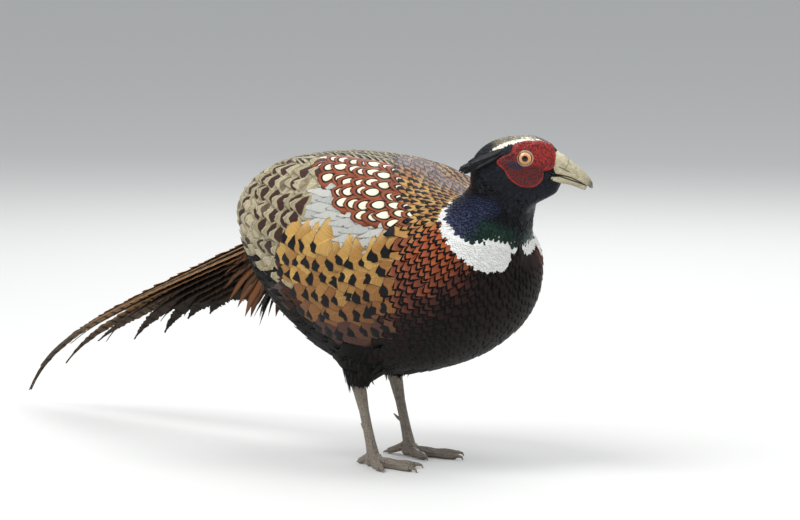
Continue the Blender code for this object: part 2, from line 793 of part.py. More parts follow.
def make_tail(trunk):
    """The root of the tail, its feathers in graduated pairs folded like a roof, and the coverts round its root."""
    root = tail_root()
    vanes = []
    for side in (1, -1):
        for pair, length in enumerate(TAIL_LENGTHS):
            vanes.append(tail_feather(pair, side, length))
        for k in range(TAIL_COVERTS):
            start = TAIL_ROOT + Vector((0.002, side * (0.0150 + 0.0032 * k), 0.0030 - 0.0090 * k))
            length = TAIL_COVERT_LENGTH * (1 - 0.06 * k)
            line = feather_line(start, math.radians(-20 - 8 * k), side * math.radians(7 + 2 * k), length, 3, 0.25, 0)
            vanes.append(free_vane(line, -side * math.radians(30 + 14 * k), 0.0072, 0.0008, covert_taper))
        for k in range(UNDER_COVERTS):
            start = TAIL_ROOT + Vector((-0.006, side * (0.0045 + 0.0080 * k), -0.024 + 0.0030 * k))
            line = feather_line(start, math.radians(-38 + 5 * k), side * math.radians(3 + 4 * k), 0.060, 3, -0.12, 0)
            vanes.append(free_vane(line, side * math.radians(4 + 6 * k), 0.0080, 0.0010, covert_taper))
    fuse(root, vanes)
    return carve(root, trunk)


def tube(name, line, radii, sides, slot="leg_scales", home="pieces", flatten=1.0):
    """A loft of round rings along a line."""
    rings = []
    last = len(line) - 1
    for i, (p, r) in enumerate(zip(line, radii)):
        along = (line[min(i + 1, last)] - line[max(i - 1, 0)]).normalized()
        across = along.cross(Vector((0, 0, 1)) if abs(along.z) < 0.9 else Vector((1, 0, 0))).normalized()
        high = across.cross(along).normalized()
        ring = []
        for j in range(sides):
            angle = 2 * math.pi * (j + 0.5) / sides
            ring.append(p + across * (r * math.cos(angle)) + high * (r * flatten * math.sin(angle)))
        rings.append(ring)
    return loft(name, rings, slot, home)


def make_thigh(side, foot_x, trunk):
    """The feathered leg above the hock."""
    suffix = "left" if side > 0 else "right"
    hock = Vector((foot_x - TARSUS_LENGTH_X, side * LEG_SPREAD, HOCK_Z))
    hip = Vector((foot_x + 0.002, side * (LEG_SPREAD + 0.006), HIP_Z))
    line = [hip.lerp(hock + Vector((0, 0, 0.002)), k / 4) for k in range(5)]
    thigh = tube("thigh_" + suffix, line, THIGH_RADII, 14, "plumage_black", "pheasant")
    return carve(thigh, trunk)


def toe(start, heading, length, claw):
    """A toe with its pads, ending in a claw that touches the ground with its tip."""
    line, radii = [], []
    for k in range(6):
        share = k / 5
        pad = 1 + 0.12 * math.cos(share * 5 * math.pi)
        rise = max(0, 0.3 - share) * 0.010
        line.append(start + heading * (length * share) + Vector((0, 0, TOE_RADIUS * (0.82 - 0.22 * share) + rise)))
        radii.append(TOE_RADIUS * (1 - 0.34 * share) * pad)
    pad_end = line[-1]
    body = tube("toe", line, radii, 7)
    claw_line, claw_radii = [], []
    for k in range(4):
        share = k / 3
        arc = math.sin(share * math.pi * 0.5)
        drop = (pad_end.z - 0.0004) * share**2
        claw_line.append(pad_end + heading * (claw * arc - 0.002) + Vector((0, 0, 0.0010 * math.sin(math.pi * share) - drop)))
        claw_radii.append(0.0019 * (1 - 0.86 * share) + 0.0001)
    return [body, tube("claw", claw_line, claw_radii, 6)]


def make_leg(side, foot_x, thigh):
    """The bare shank with its spur, the toes and their claws. The soles are flat at z = 0."""
    suffix = "left" if side > 0 else "right"
    ankle = Vector((foot_x, side * LEG_SPREAD, 0.0065))
    hock = Vector((foot_x - TARSUS_LENGTH_X, side * LEG_SPREAD, HOCK_Z + 0.004))
    line = [hock.lerp(ankle, k / 5) for k in range(6)]
    radii = [TARSUS_RADIUS * f for f in (1.45, 1.25, 0.96, 0.92, 1.0, 1.25)]
    shank = tube("leg_" + suffix, line, radii, 10, home="pheasant")
    pieces = []
    for turn, length, claw in TOES:
        angle = math.radians(turn * side * -1 + side * 6)
        heading = Vector((math.cos(angle), math.sin(angle), 0))
        pieces += toe(Vector((foot_x - 0.001, side * LEG_SPREAD, 0)), heading, length, claw)
    back = Vector((-math.cos(math.radians(14)), -side * math.sin(math.radians(14)), 0))
    hind_start = Vector((foot_x - 0.003, side * LEG_SPREAD, 0.009))
    hind = [hind_start + back * (HIND_TOE_LENGTH * k / 4) + Vector((0, 0, -0.0070 * (k / 4) ** 0.7)) for k in range(5)]
    pieces.append(tube("toe", hind, [TOE_RADIUS * f for f in (0.9, 0.8, 0.74, 0.66, 0.58)], 8))
    claw = [hind[-1] + back * (0.0065 * k / 3 - 0.001) + Vector((0, 0, -0.0014 * (k / 3) ** 2)) for k in range(4)]
    pieces.append(tube("claw", claw, (0.0017, 0.0013, 0.0008, 0.0003), 6))
    spur_start = hock.lerp(ankle, 0.66)
    spur = [
        spur_start + Vector((-SPUR_LENGTH * k / 3 * 0.92, -side * 0.002 * k / 3, SPUR_LENGTH * 0.45 * (k / 3) ** 2))
        for k in range(4)
    ]
    pieces.append(tube("spur", spur, (0.0026, 0.0020, 0.0012, 0.0004), 6))
    pieces.append(tube("ball", [Vector((foot_x + d, side * LEG_SPREAD, 0.0042)) for d in (-0.007, -0.002, 0.004, 0.009)], (0.003, 0.0062, 0.0062, 0.003), 10))
    fuse(shank, pieces)
    flatten_sole(shank)
    return carve(shank, thigh)


def flatten_sole(leg):
    """Cuts the leg off flat at the ground."""
    work = bmesh.new()
    work.from_mesh(leg.data)
    geometry = work.verts[:] + work.edges[:] + work.faces[:]
    cut = bmesh.ops.bisect_plane(
        work, geom=geometry, plane_co=(0, 0, 0), plane_no=(0, 0, 1), clear_inner=True
    )
    edges = [g for g in cut["geom_cut"] if isinstance(g, bmesh.types.BMEdge)]
    bmesh.ops.holes_fill(work, edges=edges, sides=0)
    bmesh.ops.triangulate(work, faces=work.faces)
    bmesh.ops.recalc_face_normals(work, faces=work.faces)
    work.to_mesh(leg.data)
    work.free()


def centre_on_footprint():
    """Moves the finished bird so that the origin is at the middle of its bounding box, on the ground."""
    solids = [o for o in collection("pheasant").objects if o.type == "MESH"]
    points = np.array([v.co for o in solids for v in o.data.vertices])
    middle = (points.min(0) + points.max(0)) / 2
    shift = Matrix.Translation(Vector((-middle[0], -middle[1], -points[:, 2].min())))
    for solid in solids:
        solid.data.transform(shift)


def main():
    clear_scene()
    trunk = make_trunk()
    make_head_and_neck(trunk)
    for side in (1, -1):
        make_wing(side, trunk)
    make_tail(trunk)
    for side, foot_x in ((1, LEFT_FOOT_X), (-1, RIGHT_FOOT_X)):
        thigh = make_thigh(side, foot_x, trunk)
        make_leg(side, foot_x, thigh)
    centre_on_footprint()


main()
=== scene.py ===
import math

import bpy
import numpy as np
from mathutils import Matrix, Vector
from mathutils.bvhtree import BVHTree
from mathutils.kdtree import KDTree


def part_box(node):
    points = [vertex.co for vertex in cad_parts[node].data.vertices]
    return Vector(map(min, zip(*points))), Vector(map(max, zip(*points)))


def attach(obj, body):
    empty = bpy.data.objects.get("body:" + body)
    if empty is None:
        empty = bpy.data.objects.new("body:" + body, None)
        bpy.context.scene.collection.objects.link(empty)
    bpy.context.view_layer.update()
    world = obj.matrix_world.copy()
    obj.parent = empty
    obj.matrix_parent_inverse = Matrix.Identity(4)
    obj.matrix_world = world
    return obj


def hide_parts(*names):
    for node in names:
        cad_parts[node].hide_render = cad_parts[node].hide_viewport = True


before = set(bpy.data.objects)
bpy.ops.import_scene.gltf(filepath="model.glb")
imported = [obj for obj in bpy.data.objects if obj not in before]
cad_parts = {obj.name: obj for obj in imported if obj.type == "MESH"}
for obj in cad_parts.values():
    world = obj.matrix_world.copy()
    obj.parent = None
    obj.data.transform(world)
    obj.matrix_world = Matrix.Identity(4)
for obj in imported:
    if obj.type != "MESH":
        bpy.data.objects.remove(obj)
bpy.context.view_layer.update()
chance = np.random.default_rng(11)

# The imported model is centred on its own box, so places measured on the bird are moved along by shiftX.
bird = {
    "shiftX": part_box("torso")[0].x + 0.13789,    # the trunk ends 0.13789 m behind the bird's own origin
    "headCentre": (0.1445, 0.0036, 0.2455),
    "headTurn": 42,                      # degrees to the bird's left
}


def place(x, y, z):
    return Vector((x + bird["shiftX"], y, z))


headTurn = math.radians(bird["headTurn"])
headForward = Vector((math.cos(headTurn), math.sin(headTurn), 0))
headLeft = Vector((-math.sin(headTurn), math.cos(headTurn), 0))
headCentre = place(*bird["headCentre"])


def fromHead(x, y, z):
    return headCentre + headForward * x + headLeft * y + Vector((0, 0, z))


def curveAt(values, at):
    # a smooth curve through evenly spaced values, at a list of places counted in steps
    values = np.asarray(values, float)
    at = np.atleast_1d(np.asarray(at, float))
    last = len(values) - 1
    low = np.clip(at.astype(int), 0, last - 1)
    u = at - low
    slopes = np.gradient(values, axis=0)
    if values.ndim > 1:
        u = u[:, None]
    return ((2 * u**3 - 3 * u**2 + 1) * values[low] + (u**3 - 2 * u**2 + u) * slopes[low]
            + (3 * u**2 - 2 * u**3) * values[low + 1] + (u**3 - u**2) * slopes[low + 1])


def curveShare(values, share):
    # the same curve at a share of its length, 0 to 1
    return curveAt(values, share * (len(values) - 1))[0]


def roundSize(share):
    # 0 at the two ends of a form, so that they close, and 1 between
    return 0 if share < 1e-4 or share > 1 - 1e-4 else 1


def unit(vectors):
    return vectors / np.maximum(np.linalg.norm(vectors, axis=-1, keepdims=True), 1e-12)


def columnsOf(*values):
    # numbers and lists of numbers side by side, as the columns of one table
    return np.stack(np.broadcast_arrays(*values), -1)


# Blender helpers

def addObject(name, data):
    made = bpy.data.objects.new(name, data)
    bpy.context.scene.collection.objects.link(made)
    return made


def pointsOf(piece):
    # the places and the normals of a piece's points
    found = []
    for key in ("co", "normal"):
        values = np.zeros(len(piece.data.vertices) * 3)
        piece.data.vertices.foreach_get(key, values)
        found.append(values.reshape(-1, 3))
    return found


def selectOnly(*pieces):
    bpy.ops.object.select_all(action="DESELECT")
    for piece in pieces:
        piece.select_set(True)
    bpy.context.view_layer.objects.active = pieces[0]


def applyModifier(piece, kind, **settings):
    selectOnly(piece)
    modifier = piece.modifiers.new(kind.lower(), kind)
    for name, value in settings.items():
        setattr(modifier, name, value)
    bpy.ops.object.modifier_apply(modifier=modifier.name)


def outward(piece):
    selectOnly(piece)
    bpy.ops.object.mode_set(mode="EDIT")
    bpy.ops.mesh.select_all(action="SELECT")
    bpy.ops.mesh.remove_doubles(threshold=1e-6)
    bpy.ops.mesh.normals_make_consistent(inside=False)
    bpy.ops.object.mode_set(mode="OBJECT")


def keepLargest(piece):
    # splits off loose scraps and keeps the largest surface
    selectOnly(piece)
    bpy.ops.object.mode_set(mode="EDIT")
    bpy.ops.mesh.select_all(action="SELECT")
    bpy.ops.mesh.separate(type="LOOSE")
    bpy.ops.object.mode_set(mode="OBJECT")
    parts = sorted(bpy.context.selected_objects, key=lambda part: len(part.data.vertices))
    for scrap in parts[:-1]:
        bpy.data.objects.remove(scrap)
    parts[-1].name = parts[-1].data.name = "skin"
    return parts[-1]


def finishPiece(piece, finish, slot, *nodes, smooth=True):
    piece.data.materials.clear()
    piece.data.materials.append(finish)
    if smooth:
        selectOnly(piece)
        bpy.ops.object.shade_smooth()
    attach(piece, "root")
    if nodes:
        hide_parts(*nodes)
    return piece


def meshFromArrays(name, points, quads):
    mesh = bpy.data.meshes.new(name)
    mesh.vertices.add(len(points))
    mesh.vertices.foreach_set("co", np.asarray(points, np.float32).ravel())
    mesh.loops.add(quads.size)
    mesh.loops.foreach_set("vertex_index", np.asarray(quads, np.int32).ravel())
    mesh.polygons.add(len(quads))
    mesh.polygons.foreach_set("loop_start", np.arange(0, quads.size, 4, dtype=np.int32))
    mesh.update(calc_edges=True)
    return addObject(name, mesh)


def addAttribute(piece, name, values):
    values = np.asarray(values, np.float32)
    layer = piece.data.attributes.new(name, "FLOAT_VECTOR", "POINT")
    layer.data.foreach_set("vector", values.ravel())


def shapedSphere(name, sides, rings, section):
    # a sphere whose rings are moved on to the sections of a longer form; section(share, angle) gives a place
    bpy.ops.object.select_all(action="DESELECT")
    bpy.ops.mesh.primitive_uv_sphere_add(segments=sides, ring_count=rings, radius=1)
    piece = bpy.context.active_object
    piece.name = piece.data.name = name
    for vertex in piece.data.vertices:
        x, y, z = vertex.co
        share = math.acos(max(-1, min(1, z))) / math.pi
        vertex.co = section(share, math.atan2(y, x))
    outward(piece)
    return piece


# Materials

class Number:
    # a shader socket that takes Python's own arithmetic
    def __init__(self, finish, socket):
        self.finish = finish
        self.socket = socket

    def maths(self, operation, *values):
        return self.finish.node("Math", {"operation": operation}, dict(enumerate(values)))

    def __abs__(self):
        return self.maths("ABSOLUTE", self)

    def most(self, other):
        return self.maths("MAXIMUM", self, other)

    def sine(self):
        return self.maths("SINE", self)

    def ramp(self, low, high):
        # 0 at low and 1 at high, smooth between
        return self.finish.node("MapRange", {"interpolation_type": "SMOOTHSTEP"},
                                {"Value": self, "From Min": low, "From Max": high})

    def mix(self, first, second):
        # from one colour to another, by this share
        return self.finish.node("Mix", {"data_type": "RGBA"}, {0: self, 6: first, 7: second}, 2)

    def shade(self, share):
        # this colour made lighter or darker
        return self.finish.node("VectorMath", {"operation": "SCALE"}, {0: self, "Scale": share})


for sign, operation in (("add", "ADD"), ("sub", "SUBTRACT"), ("mul", "MULTIPLY"), ("truediv", "DIVIDE"),
                        ("pow", "POWER")):
    setattr(Number, f"__{sign}__", lambda self, other, kind=operation: self.maths(kind, self, other))
    setattr(Number, f"__r{sign}__", lambda self, other, kind=operation: self.maths(kind, other, self))


def colour(code):
    # a colour as a painter's six-figure code, in the renderer's own linear values
    parts = [int(code[i:i + 2], 16) / 255 for i in (0, 2, 4)]
    return (*[p / 12.92 if p <= 0.04045 else ((p + 0.055) / 1.055) ** 2.4 for p in parts], 1)


class Finish:
    # a material under construction
    def __init__(self, name, **fixed):
        self.material = bpy.data.materials.new(name)
        self.material.use_nodes = True
        self.tree = self.material.node_tree
        self.shader = self.tree.nodes["Principled BSDF"]
        for socket, value in fixed.items():
            self.set(socket.replace("_", " "), value)

    def fill(self, socket, value):
        if isinstance(value, Number):
            self.tree.links.new(value.socket, socket)
        else:
            socket.default_value = colour(value) if isinstance(value, str) else value

    def set(self, socket, value):
        self.fill(self.shader.inputs[socket], value)

    def node(self, kind, settings=None, inputs=None, out=0):
        made = self.tree.nodes.new("ShaderNode" + kind)
        for name, value in (settings or {}).items():
            setattr(made, name, value)
        for name, value in (inputs or {}).items():
            self.fill(made.inputs[name], value)
        return Number(self, made.outputs[out])

    def attribute(self, name):
        vector = self.node("Attribute", {"attribute_name": name}, out="Vector")
        outputs = self.node("SeparateXYZ", None, {0: vector}).socket.node.outputs
        return [Number(self, outputs[i]) for i in range(3)]

    def objectPlace(self):
        return self.node("TexCoord", out="Object")

    def noise(self, scale, detail, vector=None, flat=None, roughness=0.5):
        # over a place, or along one number
        inputs = {"Scale": scale, "Detail": detail, "Roughness": roughness}
        if flat is not None:
            return self.node("TexNoise", {"noise_dimensions": "1D"}, {**inputs, "W": flat})
        return self.node("TexNoise", None, {**inputs, "Vector": vector})

    def bump(self, height, strength, distance):
        inputs = {"Height": height, "Strength": strength, "Distance": distance}
        self.set("Normal", self.node("Bump", None, inputs))


def featherFinish(name, paint, roughness=0.55, grain=1.0, shaft=0.25, streaks=0.4, **fixed):
    # paint(q, across, r, s, a) gives the colour: q rows of feathers from the tip, across from the shaft,
    # r chance, s station and a angle on the chart of the skin
    finish = Finish(name, **{"Specular_IOR_Level": 0.2, "Roughness": roughness, **fixed})
    q, u, barb = finish.attribute("place")
    r, s, a = finish.attribute("kind")
    across = abs(u)
    lines = finish.noise(1.6 * grain, 2, flat=barb, roughness=0.6)
    tone = 0.94 + (lines - 0.5) * streaks + r * 0.12
    stem = across.ramp(0.05, 0.015) * shaft
    finish.set("Base Color", paint(q, across, r, s, a).shade(tone * (1 + stem)))
    finish.bump(lines + stem * 1.5 - q.ramp(0.25, 0.0) * 0.3, 0.9 * streaks, 0.0004)
    return finish.material


# The skin: what carries the feathers

skull = {
    # places along the head from the nape to the bill: forward, top, underside, half width
    "stations": ((-0.0430, -0.0060, -0.0330, 0.0040), (-0.0385, 0.0030, -0.0370, 0.0085),
                 (-0.0275, 0.0118, -0.0340, 0.0125), (-0.0150, 0.0160, -0.0300, 0.0150),
                 (-0.0030, 0.0176, -0.0290, 0.0160), (0.0080, 0.0164, -0.0275, 0.0150),
                 (0.0180, 0.0117, -0.0255, 0.0100), (0.0265, 0.0045, -0.0222, 0.0066),
                 (0.0310, -0.0020, -0.0195, 0.0040)),
    "roundness": 2.2,
}
flesh = {
    "voxel": 0.0019,
    "smoothing": 14,
    # how deep the skin lies in the CAD's solids: by distance from the head, and by height over the floor
    "depths": ((0.030, 0.0007), (0.050, 0.0012), (0.085, 0.0030), (0.120, 0.0040)),
    "legDepth": ((0.062, 0.0002), (0.080, 0.0015), (0.100, 0.0040)),
    # the throat's line from the bill down, forward and up, with its radii and depths
    "throat": ((0.0230, -0.0195), (0.0175, -0.0235), (0.0105, -0.0272), (0.0008, -0.0322),
               (-0.0058, -0.0410)),
    "throatRadii": (0.0055, 0.0078, 0.0098, 0.0125, 0.0150),
    "throatDepth": (0.0045, 0.0052, 0.0050, 0.0050, 0.0052),
}


def ovalPoint(angle, roundness):
    c, s = math.cos(angle), math.sin(angle)
    return (math.copysign(abs(c) ** (2 / roundness), c), math.copysign(abs(s) ** (2 / roundness), s))


def skullSection(share, angle):
    x, top, low, half = curveShare(skull["stations"], share)
    across, up = ovalPoint(angle, skull["roundness"])
    size = roundSize(share)
    return fromHead(x, half * across * size, (top + low) / 2 + (top - low) / 2 * up * size)


def throatSection(share, angle):
    x, z = curveShare(flesh["throat"], share)
    size = roundSize(share)
    out = curveShare(flesh["throatDepth"], share) * math.cos(angle) * size
    return fromHead(x + out, curveShare(flesh["throatRadii"], share) * math.sin(angle) * size, z - out)


def makeSkin():
    print("the skin")
    parts = [shapedSphere("skin", 40, 30, skullSection), shapedSphere("throat", 24, 16, throatSection)]
    for name in ("torso", "neck", "thigh_left", "thigh_right"):
        parts.append(addObject(name + "_flesh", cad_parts[name].data.copy()))
    selectOnly(*parts)
    bpy.ops.object.join()
    skin = bpy.context.active_object
    outward(skin)
    applyModifier(skin, "REMESH", mode="VOXEL", voxel_size=flesh["voxel"])
    skin = keepLargest(skin)
    applyModifier(skin, "SMOOTH", factor=0.5, iterations=flesh["smoothing"])
    points, normals = pointsOf(skin)
    away = np.linalg.norm(points - np.array(headCentre), axis=1)
    depth = np.interp(away, *zip(*flesh["depths"]))
    depth = np.minimum(depth, np.interp(points[:, 2], *zip(*flesh["legDepth"])))
    points -= normals * depth[:, None]
    skin.data.vertices.foreach_set("co", points.ravel())
    applyModifier(skin, "SMOOTH", factor=0.5, iterations=4)
    return skin


# A chart of the skin: station s from the bill to the tail, and angle t round it, 0 on top, + to the left

chartSettings = {
    "perStation": 10,
    "angles": 120,
    "reach": 0.16,                       # how far a ray looks for the skin
    "missed": 0.004,                     # where a ray ends that finds none
    "smoothing": 3,
    # top and underside of each station: on the head in its own frame, on the body in the bird's
    "head": (((0.027, 0.003), (0.0265, -0.0225)), ((0.016, 0.0125), (0.0215, -0.0275)),
             ((0.004, 0.0172), (0.0160, -0.0315)), ((-0.010, 0.0168), (0.0110, -0.0350)),
             ((-0.023, 0.0132), (0.0072, -0.0392)), ((-0.034, 0.0040), (0.0045, -0.0440)),
             ((-0.040, -0.0130), (0.0028, -0.0505))),
    "body": (((0.092, 0.2175), (0.1420, 0.187)), ((0.079, 0.2150), (0.1410, 0.172)),
             ((0.066, 0.2195), (0.1380, 0.152)), ((0.050, 0.2250), (0.1330, 0.128)),
             ((0.032, 0.2300), (0.1180, 0.103)), ((0.010, 0.2340), (0.0880, 0.082)),
             ((-0.014, 0.2355), (0.0500, 0.072)), ((-0.038, 0.2355), (0.0100, 0.069)),
             ((-0.062, 0.2340), (-0.0300, 0.074)), ((-0.086, 0.2300), (-0.0650, 0.091)),
             ((-0.108, 0.2230), (-0.0950, 0.116)), ((-0.124, 0.2140), (-0.1170, 0.144)),
             ((-0.133, 0.2040), (-0.1300, 0.167))),
    "turnIntoBody": (1, 1, 1, 1, 0.9, 0.75, 0.5, 0.25),   # how far each station is turned with the head
}


class Chart:
    def __init__(self, tree, tops, lows, lefts):
        self.stations = len(tops) - 1
        self.perStation = chartSettings["perStation"]
        self.angles = chartSettings["angles"]
        self.step = 360 / self.angles
        self.s = np.linspace(0, self.stations, self.stations * self.perStation + 1)
        tops, lows, lefts = (curveAt(v, self.s) for v in (tops, lows, lefts))
        points = np.zeros((len(self.s), self.angles, 3))
        for i in range(len(self.s)):
            centre = Vector((tops[i] + lows[i]) / 2)
            up = Vector(tops[i] - lows[i]).normalized()
            left = Vector(lefts[i]) - up * up.dot(Vector(lefts[i]))
            left.normalize()
            for j in range(self.angles):
                turn = math.radians(-180 + j * self.step)
                heading = up * math.cos(turn) + left * math.sin(turn)
                hit = tree.ray_cast(centre, heading, chartSettings["reach"])[0]
                points[i, j] = hit if hit is not None else centre + heading * chartSettings["missed"]
        for _ in range(chartSettings["smoothing"]):
            points = points * 0.5 + (np.roll(points, 1, 1) + np.roll(points, -1, 1)) * 0.25
            points[1:-1] = points[1:-1] * 0.5 + (points[2:] + points[:-2]) * 0.25
        self.lay(points)

    def lay(self, points):
        along = np.gradient(points, self.s, axis=0)
        around = (np.roll(points, -1, 1) - np.roll(points, 1, 1)) / (2 * math.radians(self.step))
        normals = unit(np.cross(around, along))
        self.grid = np.concatenate([points, along, around, normals], axis=2)

    def swell(self, amount):
        # amount(s, t) moves the chart outwards
        s, t = np.meshgrid(self.s, -180 + np.arange(self.angles) * self.step, indexing="ij")
        self.lay(self.grid[..., :3] + self.grid[..., 9:] * amount(s, t)[..., None])

    def at(self, s, t):
        # place, way along, way round and outward normal; past the ends the place runs straight on
        s = np.clip(s, -0.6, self.stations + 0.9)
        inside = np.clip(s, 0, self.stations)
        row = inside * self.perStation
        i = np.clip(row.astype(int), 0, len(self.s) - 2)
        u = (row - i)[..., None]
        column = ((t + 180) / self.step) % self.angles
        j = np.floor(column).astype(int) % self.angles
        v = (column - np.floor(column))[..., None]
        k = (j + 1) % self.angles
        g = self.grid
        values = (g[i, j] * (1 - u) + g[i + 1, j] * u) * (1 - v) + (g[i, k] * (1 - u) + g[i + 1, k] * u) * v
        point, along, around, normal = (values[..., 3 * n:3 * n + 3] for n in range(4))
        return point + along * (s - inside)[..., None], along, around, unit(normal)

    def move(self, along, around, step):
        # the change of station and angle that moves a place by a step on the skin, kept from running wild
        aa, ab, bb = (np.sum(p * q, -1) for p, q in ((along, along), (along, around), (around, around)))
        x, y = np.sum(along * step, -1), np.sum(around * step, -1)
        size = np.maximum(aa * bb - ab * ab, 1e-12)
        ds, dt = (bb * x - ab * y) / size, np.degrees((aa * y - ab * x) / size)
        return np.clip(ds, -2.5, 2.5), np.clip(dt, -40, 40)


def makeBodyChart(skin):
    print("the chart of the skin")
    ends = [(fromHead(x, 0, z), fromHead(u, 0, w)) for (x, z), (u, w) in chartSettings["head"]]
    ends += [(place(x, 0, z), place(u, 0, w)) for (x, z), (u, w) in chartSettings["body"]]
    tops, lows = zip(*ends)
    turns = chartSettings["turnIntoBody"] + (0,) * len(tops)
    lefts = [Vector((0, 1, 0)).lerp(headLeft, turn).normalized() for _, turn in zip(tops, turns)]
    tree = BVHTree.FromObject(skin, bpy.context.evaluated_depsgraph_get())
    return Chart(tree, tops, lows, lefts), tree


wing = {
    # the folded wing as a swelling of the skin
    "height": 0.0058, "middleHeight": 0.75,      # and the share of it at the middle of the back
    "middle": (4, 26), "lowerEdge": (90, 70),    # angles between which it rises
    "front": (9.8, 11.6), "rear": (15.5, 19.2),  # stations between which it rises, and falls again
    "rearLoss": 0.75,
    "sunk": 0.0004,                      # the skin lies this far under the chart, so that no root shows
    "offChart": 0.014,                   # skin farther from the chart than this is a thigh
}


def wingSwell(s, t):
    a = np.abs(t)

    def rise(value, low, high):
        share = np.clip((value - low) / (high - low), 0, 1)
        return share * share * (3 - 2 * share)

    middle = wing["middleHeight"]
    across = (middle + (1 - middle) * rise(a, *wing["middle"])) * rise(a, *wing["lowerEdge"])
    along = rise(s, *wing["front"]) * (1 - wing["rearLoss"] * rise(s, *wing["rear"]))
    return wing["height"] * across * along


def raiseWings(skin, chart):
    # the folded wings as a swelling of the skin; every point takes the place of the nearest one of the chart
    chart.swell(wingSwell)
    tree = KDTree(chart.grid.shape[0] * chart.grid.shape[1])
    for i, point in enumerate(chart.grid[..., :3].reshape(-1, 3)):
        tree.insert(point, i)
    tree.balance()
    points, normals = pointsOf(skin)
    nearest, far = np.array([tree.find(point)[1:] for point in points]).T
    nearest = nearest.astype(int)
    s, a = chart.s[nearest // chart.angles], np.abs(-180 + (nearest % chart.angles) * chart.step)
    onThigh = far > wing["offChart"]
    s, a = np.where(onThigh, 13, s), np.where(onThigh, 180, a)       # as dark as the belly
    white = (s > border("neck", a) + 0.1) & (s < border("collar", a) - 0.05) & (a > 56)
    points += normals * (wingSwell(s, a) - wing["sunk"])[:, None]
    skin.data.vertices.foreach_set("co", points.ravel())
    addAttribute(skin, "zone", columnsOf(np.where(a < 100, s, 10), white, a))
    applyModifier(skin, "SMOOTH", factor=0.5, iterations=3)


# Feathers

coat = {
    # a zone's usual form, where its own dictionary says nothing else
    "slope": 0.085,                      # how fast a feather sinks below the outer ones, towards its root
    "rise": 1,                           # how high its tip stands, times the depth of the coat
    "crown": 0.45,                       # how round it is across, times what it sinks in one row
    "rootWidth": 0.35, "fullest": 0.6,   # its width at the root, and where it reaches its full width
    "thickness": 0.00022, "turn": 0, "jitter": 0.12, "fray": 0.03, "unruly": 0.0002, "lengthStray": 0.06,
}
# how far the tips stand off the skin, by station
coatDepths = ((0, 0.0006), (4, 0.0009), (6.5, 0.0016), (8.5, 0.0028), (10.5, 0.0038), (19, 0.0040))
bakePatch = 0.003                        # side of a feather's patch in the baked map


def vaneFaces(rows, columns):
    # faces of one closed vane: the upper grid, then the inner points of its underside
    upper = np.arange((rows + 1) * (columns + 1)).reshape(rows + 1, columns + 1)
    under = upper.copy()
    under[1:-1, 1:-1] = upper.size + np.arange((rows - 1) * (columns - 1)).reshape(rows - 1, columns - 1)
    top = np.stack([upper[:-1, :-1], upper[:-1, 1:], upper[1:, 1:], upper[1:, :-1]], -1).reshape(-1, 4)
    low = np.stack([under[:-1, :-1], under[1:, :-1], under[1:, 1:], under[:-1, 1:]], -1).reshape(-1, 4)
    return np.concatenate([top, low])


def byVane(upper, lower):
    # arrays of rows, columns, vanes to vanes, points: the upper grid, then the inner points of the underside
    rows = [part.reshape(-1, *part.shape[2:]) for part in (upper, lower[1:-1, 1:-1])]
    return np.concatenate(rows).transpose(1, 0, 2)


def barbRun(run, w, luck):
    # a number that runs on from barb to barb, in mm, and starts elsewhere on every feather
    return (run - abs(w) * 1.2) * 1000 + luck * 50


def weave(name, top, under, placeValues, kindValues, patchCentres):
    # one mesh of many vanes: arrays of rows, columns, vanes
    rows, columns, count = top.shape[0] - 1, top.shape[1] - 1, top.shape[2]
    points = byVane(top, under)
    starts = np.arange(count) * points.shape[1]
    quads = (vaneFaces(rows, columns)[None] + starts[:, None, None]).reshape(-1, 4)
    piece = meshFromArrays(name, points.reshape(-1, 3), quads)
    addAttribute(piece, "place", byVane(placeValues, placeValues).reshape(-1, 3))
    addAttribute(piece, "kind", byVane(kindValues, kindValues).reshape(-1, 3))
    spots = np.zeros((rows + 1, columns + 1, count, 2))
    spots[..., 0] = (np.linspace(0, 1, columns + 1) - 0.5)[None, :, None]
    spots[..., 1] = (np.linspace(0, 1, rows + 1) - 0.5)[:, None, None]
    spots = spots * bakePatch + patchCentres[None, None]
    spots = byVane(spots, spots).reshape(-1, 2)
    layer = piece.data.uv_layers.new(name="OFBake")
    layer.data.foreach_set("uv", spots[quads.ravel()].astype(np.float32).ravel())
    print("  ", name, count, "feathers,", len(quads) * 2, "triangles")
    return piece


def tipLattice(chart, form, inside, first, last):
    # tips in rows at even steps along every column; every other column is half a step on
    tipsS, tipsT = [], []
    fine = np.linspace(first, last, 400)
    step = 360 / form["columns"]
    spacing, jitter = form["spacing"], form["jitter"]
    for j in range(form["columns"]):
        t = -180 + (j + 0.5) * step
        path = chart.at(fine, np.full(len(fine), t))[0]
        lengths = np.concatenate([[0], np.cumsum(np.linalg.norm(np.diff(path, axis=0), axis=1))])
        marks = np.arange((j % 2) * spacing / 2, lengths[-1], spacing)
        marks = marks + chance.uniform(-jitter, jitter, len(marks)) * spacing
        tipsS.append(np.interp(marks, lengths, fine))
        tipsT.append(t + chance.uniform(-jitter, jitter, len(marks)) * step * 0.6)
    s, t = np.concatenate(tipsS), np.concatenate(tipsT)
    keep = inside(s, np.abs(t), t)
    return s[keep], t[keep], step


